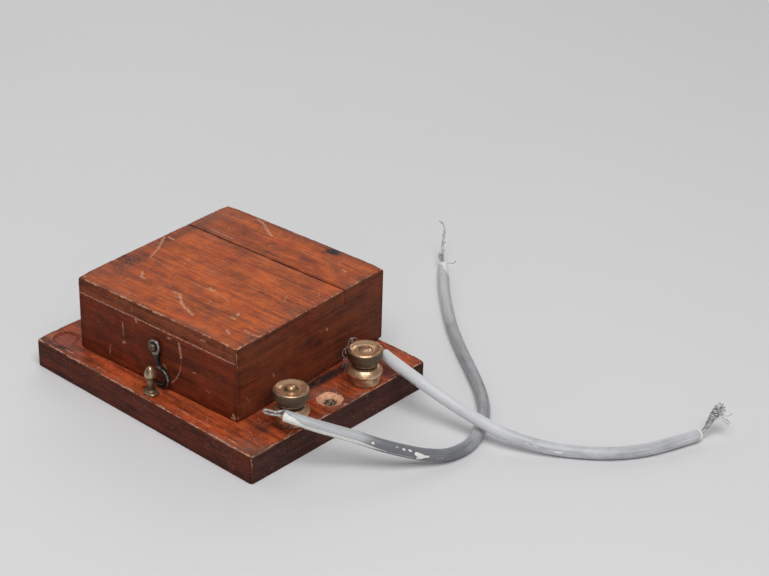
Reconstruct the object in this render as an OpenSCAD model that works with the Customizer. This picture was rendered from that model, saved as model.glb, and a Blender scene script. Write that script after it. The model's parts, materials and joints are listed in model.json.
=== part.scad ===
// Testing buzzer: a mahogany box on a baseboard, with two brass terminals, two cut leads, a hook
// and catch at the front, and a trembler works under the hinged cover.
// Millimetres. Origin at the centre of the baseboard's underside, +X to the terminals, +Y to the
// hinges, +Z up.

/* [Baseboard] */
// Length of the baseboard, left to right
base_w = 111.6; // [105:0.2:130]
// Depth of the baseboard, front to back
base_d = 87.6; // [86:0.2:110]
// Thickness of the baseboard
base_t = 11; // [10:0.5:16]
// Radius of the baseboard's upright corners
base_corner_r = 0.8; // [0.5:0.1:5]
// Diameter of the fixing screw holes
fixing_d = 4.6; // [3:0.1:5.5]
// Diameter of the fixing holes' countersink at the top
fixing_csk_d = 9.6; // [8:0.1:11]
// Distance of the plugged fixing hole from the left edge and from the front edge
fixing_edge = 7.6; // [6:0.1:9]
// How far the plug lies below the board's face
plug_sink = 0.4; // [0.1:0.1:1]

/* [Cover] */
// Width of the cover, left to right
cover_w = 77; // [74:0.5:82]
// Depth of the cover, front to back
cover_d = 77.4; // [75:0.2:78]
// Height of the cover above the baseboard
cover_h = 29; // [27:0.5:40]
// Thickness of the four walls
wall_t = 6.5; // [4.5:0.25:8]
// Thickness of the two top boards
top_t = 5.8; // [4:0.2:7]
// Depth of the rear top board
top_rear_d = 21.4; // [12:0.2:40]
// Open seam between the two top boards
top_seam = 0.4; // [0.2:0.1:1]
// Baseboard left clear to the right of the cover
cover_right_margin = 20.2; // [18:0.2:24]
// Baseboard left clear behind the cover
cover_back_margin = 0.7; // [0:0.1:2]
// Angle by which the cover sits askew on the baseboard, in degrees
cover_yaw = 2.8; // [0:0.2:4]

/* [Hinges] */
// Distance between the middles of the two hinges
hinge_pitch = 44; // [36:1:50]
// Length of each hinge
hinge_len = 14; // [12:0.5:18]
// Thickness of a hinge leaf
leaf_t = 0.9; // [0.7:0.1:1.2]
// Radius of the hinge knuckle
knuckle_r = 1.9; // [1.6:0.1:2.4]
// Diameter of the hinge pin
pin_d = 1.6; // [1.2:0.1:2]

/* [Hook and catch] */
// Height of the hook's screw above the baseboard
hook_z = 16.2; // [16:0.1:19]
// Distance of the hook's screw to the right of the cover's middle
hook_x = 0.6; // [-4:0.1:4]
// Thickness of the hook
hook_t = 1.7; // [1.2:0.1:2]
// Width of the hook's bar
hook_bar = 1.6; // [1.2:0.1:2]
// Outside diameter of the hook's eye
hook_eye_d = 5.6; // [5:0.1:7]
// Middle radius of the hook's round end
hook_bow_r = 3.1; // [2.8:0.1:4]
// Depth of the hook's round end below its screw, to the middle of the round
hook_drop = 11.6; // [9:0.1:12]
// Diameter of the hook screw's shank
hook_screw_d = 2.1; // [1.6:0.1:2.6]
// Distance of the catch post to the right of the hook's screw
post_x = 2; // [0:0.1:4]
// Distance of the catch post in front of the cover
post_gap = 5.7; // [5.6:0.1:7]
// Height of the catch post
post_h = 11; // [9:0.2:14]
// Diameter of the catch post's head
post_head_d = 4.4; // [3.4:0.1:5]
// Diameter of the catch post's shank
post_shank_d = 2.8; // [2:0.1:3.2]

/* [Terminals] */
// Distance of the terminals from the right edge
terminal_edge = 6.5; // [5.8:0.1:8]
// Distance between the two terminals
terminal_pitch = 37; // [30:0.5:50]
// Diameter of the terminal studs
stud_d = 4.7; // [3.5:0.1:5]
// Height of the terminal collar
collar_h = 6.5; // [4.5:0.1:8]
// Diameter of the collar's foot
collar_foot_d = 11.4; // [10:0.1:12.5]
// Diameter of the collar's ridge
collar_ridge_d = 12.9; // [11:0.1:14]
// Diameter of the neck of collar and nut
neck_d = 9.2; // [8.6:0.1:10.5]
// Diameter of the thumb nut
nut_d = 12.7; // [11:0.1:13.5]
// Height of the thumb nut
nut_h = 5.2; // [3.5:0.1:6]
// Height of the thumb nut's rim
nut_rim_h = 3.6; // [2:0.1:4]
// Depth of the dish in the thumb nut's top
nut_dish = 0.7; // [0.3:0.1:1.5]
// Thickness of the clamp washer
washer_t = 0.7; // [0.4:0.1:1]
// Diameter of the bare conductor in the clamp
conductor_d = 1; // [0.8:0.1:1.8]
// Outside diameter of the leads
lead_d = 4.4; // [4:0.1:5]

/* [Buzzer works] */
// Distance between the two coils
coil_pitch = 19; // [17.5:0.5:22]
// Height of the coils' axes above the baseboard
magnet_z = 9.5; // [9:0.25:11]
// Diameter of the iron cores
core_d = 6.4; // [5:0.1:7]
// Length of the iron cores
core_len = 26; // [24:0.5:27]
// Diameter of the bobbin flanges
flange_d = 16; // [15:0.5:17]
// Outside diameter of the windings
winding_d = 14.4; // [11:0.2:14.8]
// Thickness of the yoke plate
yoke_t = 3.5; // [2.5:0.1:4]
// Gap between the cores and the resting armature
pole_gap = 1; // [0.9:0.1:1.4]
// Thickness of the armature
armature_t = 3; // [2:0.1:3.2]
// Length of the armature
armature_len = 32; // [30:0.5:36]
// Height of the armature
armature_h = 9; // [8:0.5:11]
// Thickness of the armature spring
spring_t = 0.4; // [0.2:0.05:0.6]
// Diameter of the contact pillar
pillar_d = 7; // [6:0.25:8]
// Diameter of the contact screw
contact_screw_d = 3; // [2.5:0.1:3.5]
// Diameter of the wires
wire_d = 1.2; // [0.8:0.1:1.4]

/* [Hidden] */
$fn = 48;

// Clearances
fit_gap = 0.05;
run_gap = 0.05;
leaf_gap = 0.1;
knuckle_gap = 0.15;
over = 1;
slot_share = 0.16;

// Cover frame: its origin is the middle of the cover's underside
cover_x = base_w / 2 - cover_right_margin - cover_w / 2;
cover_y = base_d / 2 - cover_back_margin - cover_d / 2;
wall_h = cover_h - top_t;

// Fixing holes
fixing_csk_share = 0.6;
fixing_csk_h = fixing_csk_share * (fixing_csk_d - fixing_d) / 2;
fixing_aside = 0.2;
fixing_x = base_w / 2 - terminal_edge - fixing_aside;
fixing_y = 1;
plug_x = -base_w / 2 + fixing_edge;
plug_y = -base_d / 2 + fixing_edge;

// Hinges, in the cover frame with the pin at the parting plane
hinge_setback = knuckle_r + 2 * knuckle_gap;
leaf_lip = 0.8;
leaf_depth = wall_t - leaf_lip;
segment_len = (hinge_len - 2 * knuckle_gap) / 3;
leaf_screw_head_d = 2.8;
leaf_screw_d = 1.6;
leaf_screw_len = 5;

// Hook and catch
hook_gap = 0.3;
hook_bow_x = 2.6;
hook_flare = 0.3;
hook_lip_x = 0;
hook_lip_drop = 0.3;
hook_lip_tip = 0.9;
hook_lip_overlap = 8;
hook_open_from = 100;
hook_open_to = 262;
hook_screw_depth = 4.5;
hook_screw_head_d = 3.2;
hook_screw_head_h = 1.5;
hook_head_gap = 0.1;
post_plate = [5.6, 4.4, 0.8];
post_plate_r = 1.6;
post_ring_d = 3.6;
post_ring_h = 1;
post_head_h = 4;
post_band_h = 0.8;
post_dome_step = 15;
post_spigot_d = 2.4;
post_spigot_len = 6;

// Terminals, heights above the baseboard's underside
terminal_x = base_w / 2 - terminal_edge;
terminal_y = terminal_pitch / 2;
collar_ridge_share = 0.72;
collar_ridge_z = collar_h * collar_ridge_share;
collar_foot_share = 0.3;
collar_edge = 0.3;
collar_fillet = 0.5;
collar_top = base_t + collar_h;
washer_z = collar_top + conductor_d + fit_gap;
nut_z = washer_z + washer_t;
nut_cone_h = nut_h - nut_rim_h;
nut_foot_share = 0.2;
nut_rim_w = 1.1;
nut_edge = 0.4;
nut_boss_w = 0.9;
front_stud_proud = 1.3;
rear_stud_sunk = 0.1;
front_stud_top = nut_z + nut_h - nut_dish + front_stud_proud;
rear_stud_top = nut_z + nut_h - nut_dish - rear_stud_sunk;
stud_chamfer_h = 0.5;
stud_chamfer_w = 0.7;
pocket_d = 12;
pocket_h = 5.5;
stud_washer_d = 10;
stud_washer_t = 0.8;
stud_nut_flats = 8;
stud_nut_h = 2.8;
stud_foot = 0.3;
under_loop_z = pocket_h - wire_d / 2 - fit_gap;
under_washer_z = pocket_h - wire_d - 2 * fit_gap - stud_washer_t;
loop_r = stud_d / 2 + wire_d / 2 + 2 * fit_gap;
groove_play = 0.6;
groove_w = wire_d + groove_play;

// Works frame: origin on the baseboard, square to it; the works stand between the cover's walls
inner_w = cover_w - 2 * wall_t;
inner_d = cover_d - 2 * wall_t;
yoke_foot_d = 9;
yoke_foot_t = 3;
yoke_side = 1.5;
yoke_over = 8.5;
yoke_w = coil_pitch + flange_d + 2 * yoke_side;
yoke_h = magnet_z + yoke_over;
works_screw_head_d = 5;
works_screw_d = 2.6;
works_screw_len = 7;
yoke_screw_x = 13;
core_screw_d = 3;
core_screw_depth = 6;
core_screw_head_d = 5.6;
core_screw_head_h = 2;
bobbin_tube_t = 0.8;
flange_t = 1.2;
pole_proud = 1.5;
spring_h = 6;
spring_free = 9;
contact_x = 6;
contact_d = 3;
contact_t = 0.6;
contact_rest_gap = 0.05;
contact_tip_d = 1.8;
contact_tip_len = 1.2;
rivet_x = [-11, 13];
rivet_head_d = 3.2;
rivet_head_h = 0.7;
rivet_d = 2;
post_over = 5.5;
spring_post_w = 6;
spring_post_d = 8;
spring_post_h = magnet_z + post_over;
spring_slot_gap = 0.15;
clamp_screw_d = 2.4;
clamp_head_d = 4;
clamp_head_h = 1.5;
post_foot_d = 8;
post_foot_t = 2.5;
pillar_h = magnet_z + post_over;
pillar_spigot_d = 4;
pillar_spigot_len = 6;
pillar_flat = 0.5;
lock_nut_flats = 5.6;
lock_nut_t = 2;
screw_head_d = 8;
screw_head_t = 2.4;
screw_head_gap = 0.4;

// Places of the works from the back wall forwards; the contact pillar shares the room left in front
works_back_gap = 3.2;
pillar_gap_share = 0.555;
wire_turn_share = 0.46;
screw_depth = lock_nut_t + screw_head_gap + screw_head_t;
magnet_depth = yoke_foot_d + core_len + pole_gap + armature_t + spring_t + contact_t;
pillar_room = inner_d - works_back_gap - magnet_depth - pillar_d + pillar_flat - screw_depth;
pillar_gap = pillar_gap_share * pillar_room;
wire_turn = wire_turn_share * (pillar_room - pillar_gap + screw_depth - pillar_flat);
yoke_y = inner_d / 2 - works_back_gap - yoke_foot_d;
yoke_screw_y = yoke_y + yoke_t + (yoke_foot_d - yoke_t) / 2;
pole_y = yoke_y - core_len;
bobbin_front = pole_y + pole_proud;
armature_y = pole_y - pole_gap - armature_t;
spring_y = armature_y - spring_t;
contact_y = spring_y - contact_t;
contact_tip_y = contact_y - contact_rest_gap;
pillar_y = contact_y - pillar_gap - pillar_d / 2;
lock_nut_y = pillar_y - pillar_d / 2 + pillar_flat;
screw_end_y = lock_nut_y - screw_depth;
post_screw_y = spring_y - spring_post_d / 2 - post_foot_d / 2;

// Places of the works, left to right, with the room left over shared between both sides
works_left_share = 0.216;
spring_post_x = -armature_len / 2 - spring_free;
works_left = spring_post_w / 2 - spring_post_x;
works_right = (coil_pitch + flange_d) / 2;
works_left_gap = works_left_share * (inner_w - works_left - works_right);
works_x = cover_x - inner_w / 2 + works_left_gap + works_left;

// Wire risers through the baseboard, inside the cover's right wall
riser_wall_gap = 3.1;
riser_step = 4;
rear_riser_x = cover_x + inner_w / 2 - riser_wall_gap;
front_riser_x = rear_riser_x - riser_step;
riser_y = terminal_y - loop_r;
riser_d = wire_d + groove_play;
wire_bend_r = 1.5;
wire_lie = base_t + wire_d / 2 + fit_gap;
tap_inset = 2.5;
feed_lift = 2.5;
coil_z = base_t + magnet_z;
right_coil_x = works_x + coil_pitch / 2;
left_coil_x = works_x - coil_pitch / 2;
coil_tap_y = cover_y + bobbin_front + flange_t + tap_inset;
coil_link_y = cover_y + yoke_y - flange_t - tap_inset;
feed_rise = base_t + feed_lift;

// Loops of wire round the studs: start angle, turn and steps
under_loop_from = 150;
under_loop_turn = 240;
front_clamp_from = 290;
rear_clamp_from = 180;
clamp_loop_turn = 270;
loop_steps = 8;

// Routes of the two leads, from the terminal to the cut end, lying on the surface at the far end
front_route = [
    [53.9, -26.4, 18.6], [58.1, -24.5, 18], [62, -22.2, 17.1], [67, -17.8, 15.1], [73.2, -12, 12.4],
    [79.8, -6.5, 9.6], [85.6, -0.2, 6.8], [90.2, 6.4, 4.3], [93.5, 13.4, 2.8], [94.2, 23, 2.3],
    [90.4, 33.5, 2.3], [83.8, 43.8, 2.3], [74.5, 53, 2.3], [63.5, 61.4, 2.3], [51.7, 69.9, 2.3],
    [39.7, 79.2, 2.3], [28, 89.6, 2.3], [16.6, 100.9, 2.3], [9.6, 108.6, 2.3], [2.6, 116.5, 2.3]
];
rear_route = [
    [49.6, 28.4, 17.5], [54, 27.6, 17.2], [59, 27.2, 16.5], [66.9, 27.2, 14.8], [72.9, 27.9, 12.9],
    [78.8, 29.1, 10.8], [85.8, 30.2, 8.8], [93.6, 31.1, 7.3], [100.4, 32.6, 5.9], [106.5, 35.1, 4.6],
    [113, 38.6, 3.3], [118.7, 42.5, 2.4], [124.5, 46.5, 2.3], [129.7, 50.6, 2.3], [135.7, 57.1, 2.3],
    [140.6, 64.9, 2.3], [144.4, 74.5, 2.3], [147.8, 84.6, 2.3]
];

// Bare conductors from the leads' near ends to the clamps
front_tail = [
    [53.9, -26.4, 18.6], [51.6, -26.9, 18.2], [48.9, -27.9, 17.8], [46.5, -28.3, 17.6],
    [45.3, -27.6, 17.6], [46.2, -26.6, 17.7], [49.2, -25.9, 17.9], [50.4, -24, 18]
];
rear_tail = [
    [49.6, 28.4, 17.5], [47, 28.5, 17.5], [44.6, 27.5, 17.6], [43.2, 25.2, 17.7], [43.4, 22.4, 17.8],
    [44.8, 20.2, 18]
];

// Frayed conductors at the cut ends
frayed_d = 1.8;
front_frayed = [[2.6, 116.5, 2.3], [0, 119, 4.2], [-3, 122, 8], [-5, 124.4, 12], [-6.4, 126.2, 16]];
rear_frayed = [
    [147.8, 84.6, 2.3], [149, 87, 4.4], [149.4, 89.4, 7.4], [149.3, 92, 9.4], [148.6, 94.6, 10.4]
];

// Tube swept along points
function unit(v) = v / norm(v);
function along(p, i) = unit(p[min(i + 1, len(p) - 1)] - p[max(i - 1, 0)]);
function across(t) = unit(cross(t, abs(t[2]) < 0.9 ? [0, 0, 1] : [1, 0, 0]));
function carried(n, t) = unit(n - t * (n * t));
function normals(p, i = 0, last = [0, 0, 0]) =
    i == len(p) ? [] :
    let (n = i == 0 ? across(along(p, 0)) : carried(last, along(p, i)))
    concat([n], normals(p, i + 1, n));
function ring(c, n, t, r, sides) =
    [for (k = [0 : sides - 1]) c + r * (cos(360 * k / sides) * n + sin(360 * k / sides) * cross(t, n))];

module tube(p, d, sides = 8) {
    n = normals(p);
    last = (len(p) - 1) * sides;
    rings = [for (i = [0 : len(p) - 1]) each ring(p[i], n[i], along(p, i), d / 2, sides)];
    walls = [
        for (i = [0 : len(p) - 2])
            for (k = [0 : sides - 1])
                let (a = i * sides + k, b = i * sides + (k + 1) % sides)
                    each [[a, a + sides, b + sides], [a, b + sides, b]]
    ];
    start_cap = [for (k = [1 : sides - 2]) [0, k, k + 1]];
    end_cap = [for (k = [1 : sides - 2]) [last, last + k + 1, last + k]];
    polyhedron(points = rings, faces = concat(walls, start_cap, end_cap), convexity = 8);
}

// Path with its corners rounded off
function corner(a, b, c, r, s) =
    let (p = b + unit(a - b) * r, q = b + unit(c - b) * r)
    (1 - s) * (1 - s) * p + 2 * s * (1 - s) * b + s * s * q;
function rounded(p, r) = [
    p[0],
    for (i = [1 : len(p) - 2])
        for (k = [0 : 3]) corner(p[i - 1], p[i], p[i + 1], r, k / 3),
    p[len(p) - 1]
];
function arc(c, r, z, from, turn) = [
    for (k = [0 : loop_steps])
        let (a = from + turn * k / loop_steps)
            [c[0] + r * cos(a), c[1] + r * sin(a), z]
];

// Frames
module at_cover() {
    translate([cover_x, cover_y, base_t])
        rotate([0, 0, cover_yaw])
            children();
}
module at_works() {
    translate([works_x, cover_y, base_t])
        children();
}
module at_hinge(side) {
    at_cover()
        translate([side * hinge_pitch / 2, cover_d / 2 + hinge_setback, 0])
            children();
}
module at_hook() {
    at_cover()
        translate([hook_x, -cover_d / 2, hook_z])
            rotate([90, 0, 0])
                children();
}
module at_catch() {
    at_cover()
        translate([hook_x + post_x, -cover_d / 2 - post_gap, 0])
            children();
}
module at_terminal(side) {
    translate([terminal_x, side * terminal_y, 0])
        children();
}
module along_y(x, y, z) {
    translate([x, y, z])
        rotate([-90, 0, 0])
            children();
}

// Shared shapes
module countersunk(head_d, shank_d, length, grow = 0) {
    cone_h = (head_d - shank_d) / 2;
    translate([0, 0, -length - grow])
        cylinder(d = shank_d + 2 * grow, h = length + grow - cone_h / 2);
    translate([0, 0, -cone_h])
        cylinder(d1 = shank_d + 2 * grow, d2 = head_d + 2 * grow, h = cone_h);
}
module slotted_screw(head_d, shank_d, length) {
    slot_w = head_d * slot_share;
    difference() {
        countersunk(head_d, shank_d, length);
        translate([-head_d, -slot_w / 2, -slot_w])
            cube([2 * head_d, slot_w, slot_w + over]);
    }
}
module cap_head(d, h) {
    dome_r = (d * d / 4 + h * h) / (2 * h);
    intersection() {
        translate([0, 0, h - dome_r])
            sphere(r = dome_r);
        cylinder(d = d + over, h = h + over);
    }
}
module corner_cut() {
    for (sx = [-1, 1])
        for (sy = [-1, 1])
            translate([sx * (base_w / 2 - base_corner_r), sy * (base_d / 2 - base_corner_r), -over])
                difference() {
                    translate([sx < 0 ? -2 * base_corner_r : 0, sy < 0 ? -2 * base_corner_r : 0, 0])
                        cube([2 * base_corner_r, 2 * base_corner_r, base_t + 2 * over]);
                    translate([0, 0, -over])
                        cylinder(r = base_corner_r, h = base_t + 4 * over);
                }
}
module fixing_hole() {
    translate([0, 0, -over])
        cylinder(d = fixing_d, h = base_t + 2 * over);
    translate([0, 0, base_t - fixing_csk_h])
        cylinder(d1 = fixing_d, d2 = fixing_csk_d + 2 * over / fixing_csk_share, h = fixing_csk_h + over);
}
module leaf_screws(side, up, grow = 0) {
    at_hinge(side)
        for (sx = [-1, 1])
            translate([sx * hinge_len / 4, -hinge_setback - leaf_depth / 2, up * leaf_gap])
                rotate([up > 0 ? 180 : 0, 0, 0])
                    if (grow > 0) countersunk(leaf_screw_head_d, leaf_screw_d, leaf_screw_len, grow);
                    else slotted_screw(leaf_screw_head_d, leaf_screw_d, leaf_screw_len);
}
module leaf_recess(side, up) {
    depth = leaf_t + leaf_gap;
    wide = hinge_len + 2 * knuckle_gap;
    at_hinge(side)
        translate([-wide / 2, -hinge_setback - leaf_depth - fit_gap, up > 0 ? -over : -depth])
            cube([wide, hinge_setback + leaf_depth + 4 * knuckle_r, depth + over]);
}
module knuckle_notch(side) {
    wide = hinge_len + 2 * knuckle_gap;
    room = knuckle_r + 1.5 * knuckle_gap;
    at_hinge(side)
        translate([-wide / 2, -room, -room])
            cube([wide, room + 4 * knuckle_r, room + over]);
}
module wire_groove(riser_x, side) {
    translate([riser_x - riser_d / 2, side * riser_y - groove_w / 2, -over])
        cube([terminal_x - riser_x, groove_w, pocket_h + over]);
    translate([riser_x, side * riser_y, 0])
        cylinder(d = riser_d, h = base_t + over);
}
module works_screw_holes() {
    for (sx = [-1, 1])
        translate([sx * yoke_screw_x, yoke_screw_y, yoke_foot_t])
            countersunk(works_screw_head_d, works_screw_d, works_screw_len, fit_gap);
    translate([spring_post_x, post_screw_y, post_foot_t])
        countersunk(works_screw_head_d, works_screw_d, works_screw_len, fit_gap);
}

// Baseboard and what is fixed in it
module baseboard() {
    color("saddlebrown")
        difference() {
            translate([-base_w / 2, -base_d / 2, 0])
                cube([base_w, base_d, base_t]);
            corner_cut();
            for (side = [-1, 1])
                at_terminal(side) {
                    translate([0, 0, -over])
                        cylinder(d = stud_d + 2 * fit_gap, h = base_t + 2 * over);
                    translate([0, 0, -over])
                        cylinder(d = pocket_d, h = pocket_h + over);
                }
            wire_groove(front_riser_x, -1);
            wire_groove(rear_riser_x, 1);
            translate([fixing_x, fixing_y, 0])
                fixing_hole();
            translate([plug_x, plug_y, 0])
                fixing_hole();
            at_catch()
                translate([0, 0, -post_spigot_len - fit_gap])
                    cylinder(d = post_spigot_d + 2 * fit_gap, h = post_spigot_len + over);
            for (side = [-1, 1]) {
                leaf_recess(side, -1);
                knuckle_notch(side);
                leaf_screws(side, -1, fit_gap);
            }
            at_works() {
                works_screw_holes();
                translate([contact_x, pillar_y, -pillar_spigot_len - fit_gap])
                    cylinder(d = pillar_spigot_d + 2 * fit_gap, h = pillar_spigot_len + over);
            }
        }
}
module fixing_hole_plug() {
    color("sienna")
        translate([plug_x, plug_y, 0]) {
            plug_r = fixing_d / 2 - fit_gap;
            top_r = fixing_csk_d / 2 - plug_sink / fixing_csk_share - fit_gap;
            rotate_extrude()
                polygon([
                    [0, base_t / 2], [plug_r, base_t / 2], [plug_r, base_t - fixing_csk_h],
                    [top_r, base_t - plug_sink], [0, base_t - plug_sink]
                ]);
        }
}
module terminal_stud(side, top) {
    color("goldenrod")
        at_terminal(side)
            rotate_extrude()
                polygon([
                    [0, stud_foot], [stud_d / 2, stud_foot], [stud_d / 2, top - stud_chamfer_h],
                    [stud_d / 2 - stud_chamfer_w, top], [0, top]
                ]);
}
module terminal_collar(side) {
    bore_r = stud_d / 2 + fit_gap;
    ridge_r = collar_ridge_d / 2;
    color("darkgoldenrod")
        at_terminal(side)
            translate([0, 0, base_t])
                rotate_extrude()
                    polygon([
                        [bore_r, 0], [collar_foot_d / 2, 0],
                        [collar_foot_d / 2, collar_ridge_z * collar_foot_share],
                        [ridge_r - collar_edge, collar_ridge_z - 2 * collar_edge], [ridge_r, collar_ridge_z],
                        [neck_d / 2 + collar_fillet, collar_h - collar_fillet], [neck_d / 2, collar_h],
                        [bore_r, collar_h]
                    ]);
}
module stud_washers() {
    color("goldenrod")
        for (side = [-1, 1])
            at_terminal(side)
                translate([0, 0, under_washer_z])
                    difference() {
                        cylinder(d = stud_washer_d, h = stud_washer_t);
                        translate([0, 0, -over])
                            cylinder(d = stud_d + 2 * fit_gap, h = stud_washer_t + 2 * over);
                    }
}
module stud_nuts() {
    color("goldenrod")
        for (side = [-1, 1])
            at_terminal(side)
                translate([0, 0, under_washer_z - stud_nut_h])
                    difference() {
                        cylinder(d = stud_nut_flats / cos(30), h = stud_nut_h, $fn = 6);
                        translate([0, 0, -over])
                            cylinder(d = stud_d + 2 * fit_gap, h = stud_nut_h + 2 * over);
                    }
}
module catch_post() {
    head_z = post_h - post_head_h;
    ring_top = post_plate[2] + post_ring_h;
    plate_in = post_plate[2] / 4;
    dome_h = post_head_h - post_band_h;
    color("khaki")
        at_catch() {
            linear_extrude(post_plate[2])
                offset(r = post_plate_r)
                    square([for (i = [0, 1]) post_plate[i] - 2 * post_plate_r], center = true);
            rotate_extrude()
                polygon([
                    [0, -post_spigot_len], [post_spigot_d / 2, -post_spigot_len],
                    [post_spigot_d / 2, plate_in], [post_ring_d / 2, plate_in],
                    [post_ring_d / 2, ring_top], [post_shank_d / 2, ring_top], [post_shank_d / 2, head_z],
                    [post_head_d / 2, head_z],
                    for (a = [0:post_dome_step:90 - post_dome_step])
                        [post_head_d / 2 * cos(a), post_h - dome_h * (1 - sin(a))],
                    [0, post_h]
                ]);
        }
}

// Hinges
module hinge_leaf(side, up) {
    z0 = up > 0 ? leaf_gap : -leaf_gap - leaf_t;
    places = up > 0 ? [0] : [-1, 1];
    edge = knuckle_r + knuckle_gap;
    color("peru")
        difference() {
            at_hinge(side)
                difference() {
                    union() {
                        translate([-hinge_len / 2, -hinge_setback - leaf_depth, z0])
                            cube([hinge_len, hinge_setback + leaf_depth - edge, leaf_t]);
                        for (i = places)
                            translate([i * (segment_len + knuckle_gap) - segment_len / 2, 0, 0]) {
                                translate([0, -edge - leaf_t, z0])
                                    cube([segment_len, edge + leaf_t, leaf_t]);
                                rotate([0, 90, 0])
                                    cylinder(r = knuckle_r, h = segment_len);
                            }
                    }
                    translate([-hinge_len, 0, 0])
                        rotate([0, 90, 0])
                            cylinder(d = pin_d + 2 * run_gap, h = 2 * hinge_len);
                }
            leaf_screws(side, up, fit_gap);
        }
}
module hinge_pin(side) {
    color("peru")
        at_hinge(side)
            translate([-hinge_len / 2, 0, 0])
                rotate([0, 90, 0])
                    cylinder(d = pin_d, h = hinge_len);
}
module hinge_screws(up) {
    color("goldenrod")
        for (side = [-1, 1])
            leaf_screws(side, up);
}

// Works
module yoke_bracket() {
    color("dimgray")
        at_works()
            difference() {
                union() {
                    translate([-yoke_w / 2, yoke_y, 0])
                        cube([yoke_w, yoke_t, yoke_h]);
                    translate([-yoke_w / 2, yoke_y, 0])
                        cube([yoke_w, yoke_foot_d, yoke_foot_t]);
                }
                for (sx = [-1, 1])
                    along_y(sx * coil_pitch / 2, yoke_y - over, magnet_z)
                        cylinder(d = core_screw_d + 2 * fit_gap, h = yoke_t + 2 * over);
                works_screw_holes();
            }
}
module works_screws() {
    color("silver")
        at_works() {
            for (sx = [-1, 1])
                translate([sx * yoke_screw_x, yoke_screw_y, yoke_foot_t])
                    slotted_screw(works_screw_head_d, works_screw_d, works_screw_len);
            translate([spring_post_x, post_screw_y, post_foot_t])
                slotted_screw(works_screw_head_d, works_screw_d, works_screw_len);
        }
}
module core(sx) {
    color("gray")
        at_works()
            along_y(sx * coil_pitch / 2, pole_y, magnet_z)
                difference() {
                    cylinder(d = core_d, h = core_len);
                    translate([0, 0, core_len - core_screw_depth - fit_gap])
                        cylinder(d = core_screw_d + 2 * fit_gap, h = core_screw_depth + over);
                }
}
module core_screws() {
    slot_w = core_screw_head_d * slot_share;
    color("silver")
        at_works()
            for (sx = [-1, 1])
                along_y(sx * coil_pitch / 2, yoke_y + yoke_t, magnet_z)
                    difference() {
                        union() {
                            translate([0, 0, -yoke_t - core_screw_depth])
                                cylinder(d = core_screw_d, h = yoke_t + core_screw_depth + over / 2);
                            cylinder(d = core_screw_head_d, h = core_screw_head_h);
                        }
                        translate([-core_screw_head_d, -slot_w / 2, core_screw_head_h - slot_w])
                            cube([2 * core_screw_head_d, slot_w, slot_w + over]);
                    }
}
module bobbin(sx) {
    bore_r = core_d / 2 + fit_gap;
    tube_r = core_d / 2 + bobbin_tube_t;
    length = yoke_y - bobbin_front;
    color("maroon")
        at_works()
            along_y(sx * coil_pitch / 2, bobbin_front, magnet_z)
                rotate_extrude()
                    polygon([
                        [bore_r, 0], [flange_d / 2, 0], [flange_d / 2, flange_t], [tube_r, flange_t],
                        [tube_r, length - flange_t], [flange_d / 2, length - flange_t],
                        [flange_d / 2, length], [bore_r, length]
                    ]);
}
module winding(sx) {
    inner_r = core_d / 2 + bobbin_tube_t + fit_gap;
    length = yoke_y - bobbin_front - 2 * flange_t - 2 * fit_gap;
    color("darkgreen")
        at_works()
            along_y(sx * coil_pitch / 2, bobbin_front + flange_t + fit_gap, magnet_z)
                difference() {
                    cylinder(d = winding_d, h = length);
                    translate([0, 0, -over])
                        cylinder(r = inner_r, h = length + 2 * over);
                }
}
module armature_post() {
    slot_w = spring_t + 2 * spring_slot_gap;
    slot_z = magnet_z - spring_h / 2 - spring_slot_gap;
    middle_y = spring_y + spring_t / 2;
    color("goldenrod")
        at_works()
            difference() {
                union() {
                    translate([spring_post_x - spring_post_w / 2, middle_y - spring_post_d / 2, 0])
                        cube([spring_post_w, spring_post_d, spring_post_h]);
                    translate([
                        spring_post_x - spring_post_w / 2,
                        middle_y - spring_post_d / 2 - post_foot_d,
                        0
                    ])
                        cube([spring_post_w, post_foot_d + over, post_foot_t]);
                }
                translate([spring_post_x - spring_post_w, middle_y - slot_w / 2, slot_z])
                    cube([2 * spring_post_w, slot_w, spring_post_h]);
                along_y(spring_post_x, middle_y - spring_post_d, magnet_z)
                    cylinder(d = clamp_screw_d + 2 * fit_gap, h = 2 * spring_post_d);
                works_screw_holes();
            }
}
module spring_clamp_screw() {
    front_y = spring_y + spring_t / 2 - spring_post_d / 2;
    color("silver")
        at_works() {
            along_y(spring_post_x, front_y - clamp_head_h / 2, magnet_z)
                cylinder(d = clamp_screw_d, h = spring_post_d + clamp_head_h / 2);
            along_y(spring_post_x, front_y - clamp_head_h, magnet_z)
                cylinder(d = clamp_head_d, h = clamp_head_h);
        }
}
module contact_pillar() {
    color("goldenrod")
        at_works()
            difference() {
                translate([contact_x, pillar_y, 0]) {
                    translate([0, 0, -pillar_spigot_len])
                        cylinder(d = pillar_spigot_d, h = pillar_spigot_len + over);
                    cylinder(d = pillar_d, h = pillar_h);
                }
                translate([contact_x - pillar_d, lock_nut_y - pillar_d, magnet_z - lock_nut_flats])
                    cube([2 * pillar_d, pillar_d, 2 * lock_nut_flats + over]);
                along_y(contact_x, pillar_y - pillar_d, magnet_z)
                    cylinder(d = contact_screw_d + 2 * run_gap, h = 2 * pillar_d);
            }
}
module contact_lock_nut() {
    color("goldenrod")
        at_works()
            along_y(contact_x, lock_nut_y - lock_nut_t, magnet_z)
                difference() {
                    cylinder(d = lock_nut_flats / cos(30), h = lock_nut_t, $fn = 6);
                    translate([0, 0, -over])
                        cylinder(d = contact_screw_d + 2 * run_gap, h = lock_nut_t + 2 * over);
                }
}

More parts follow.
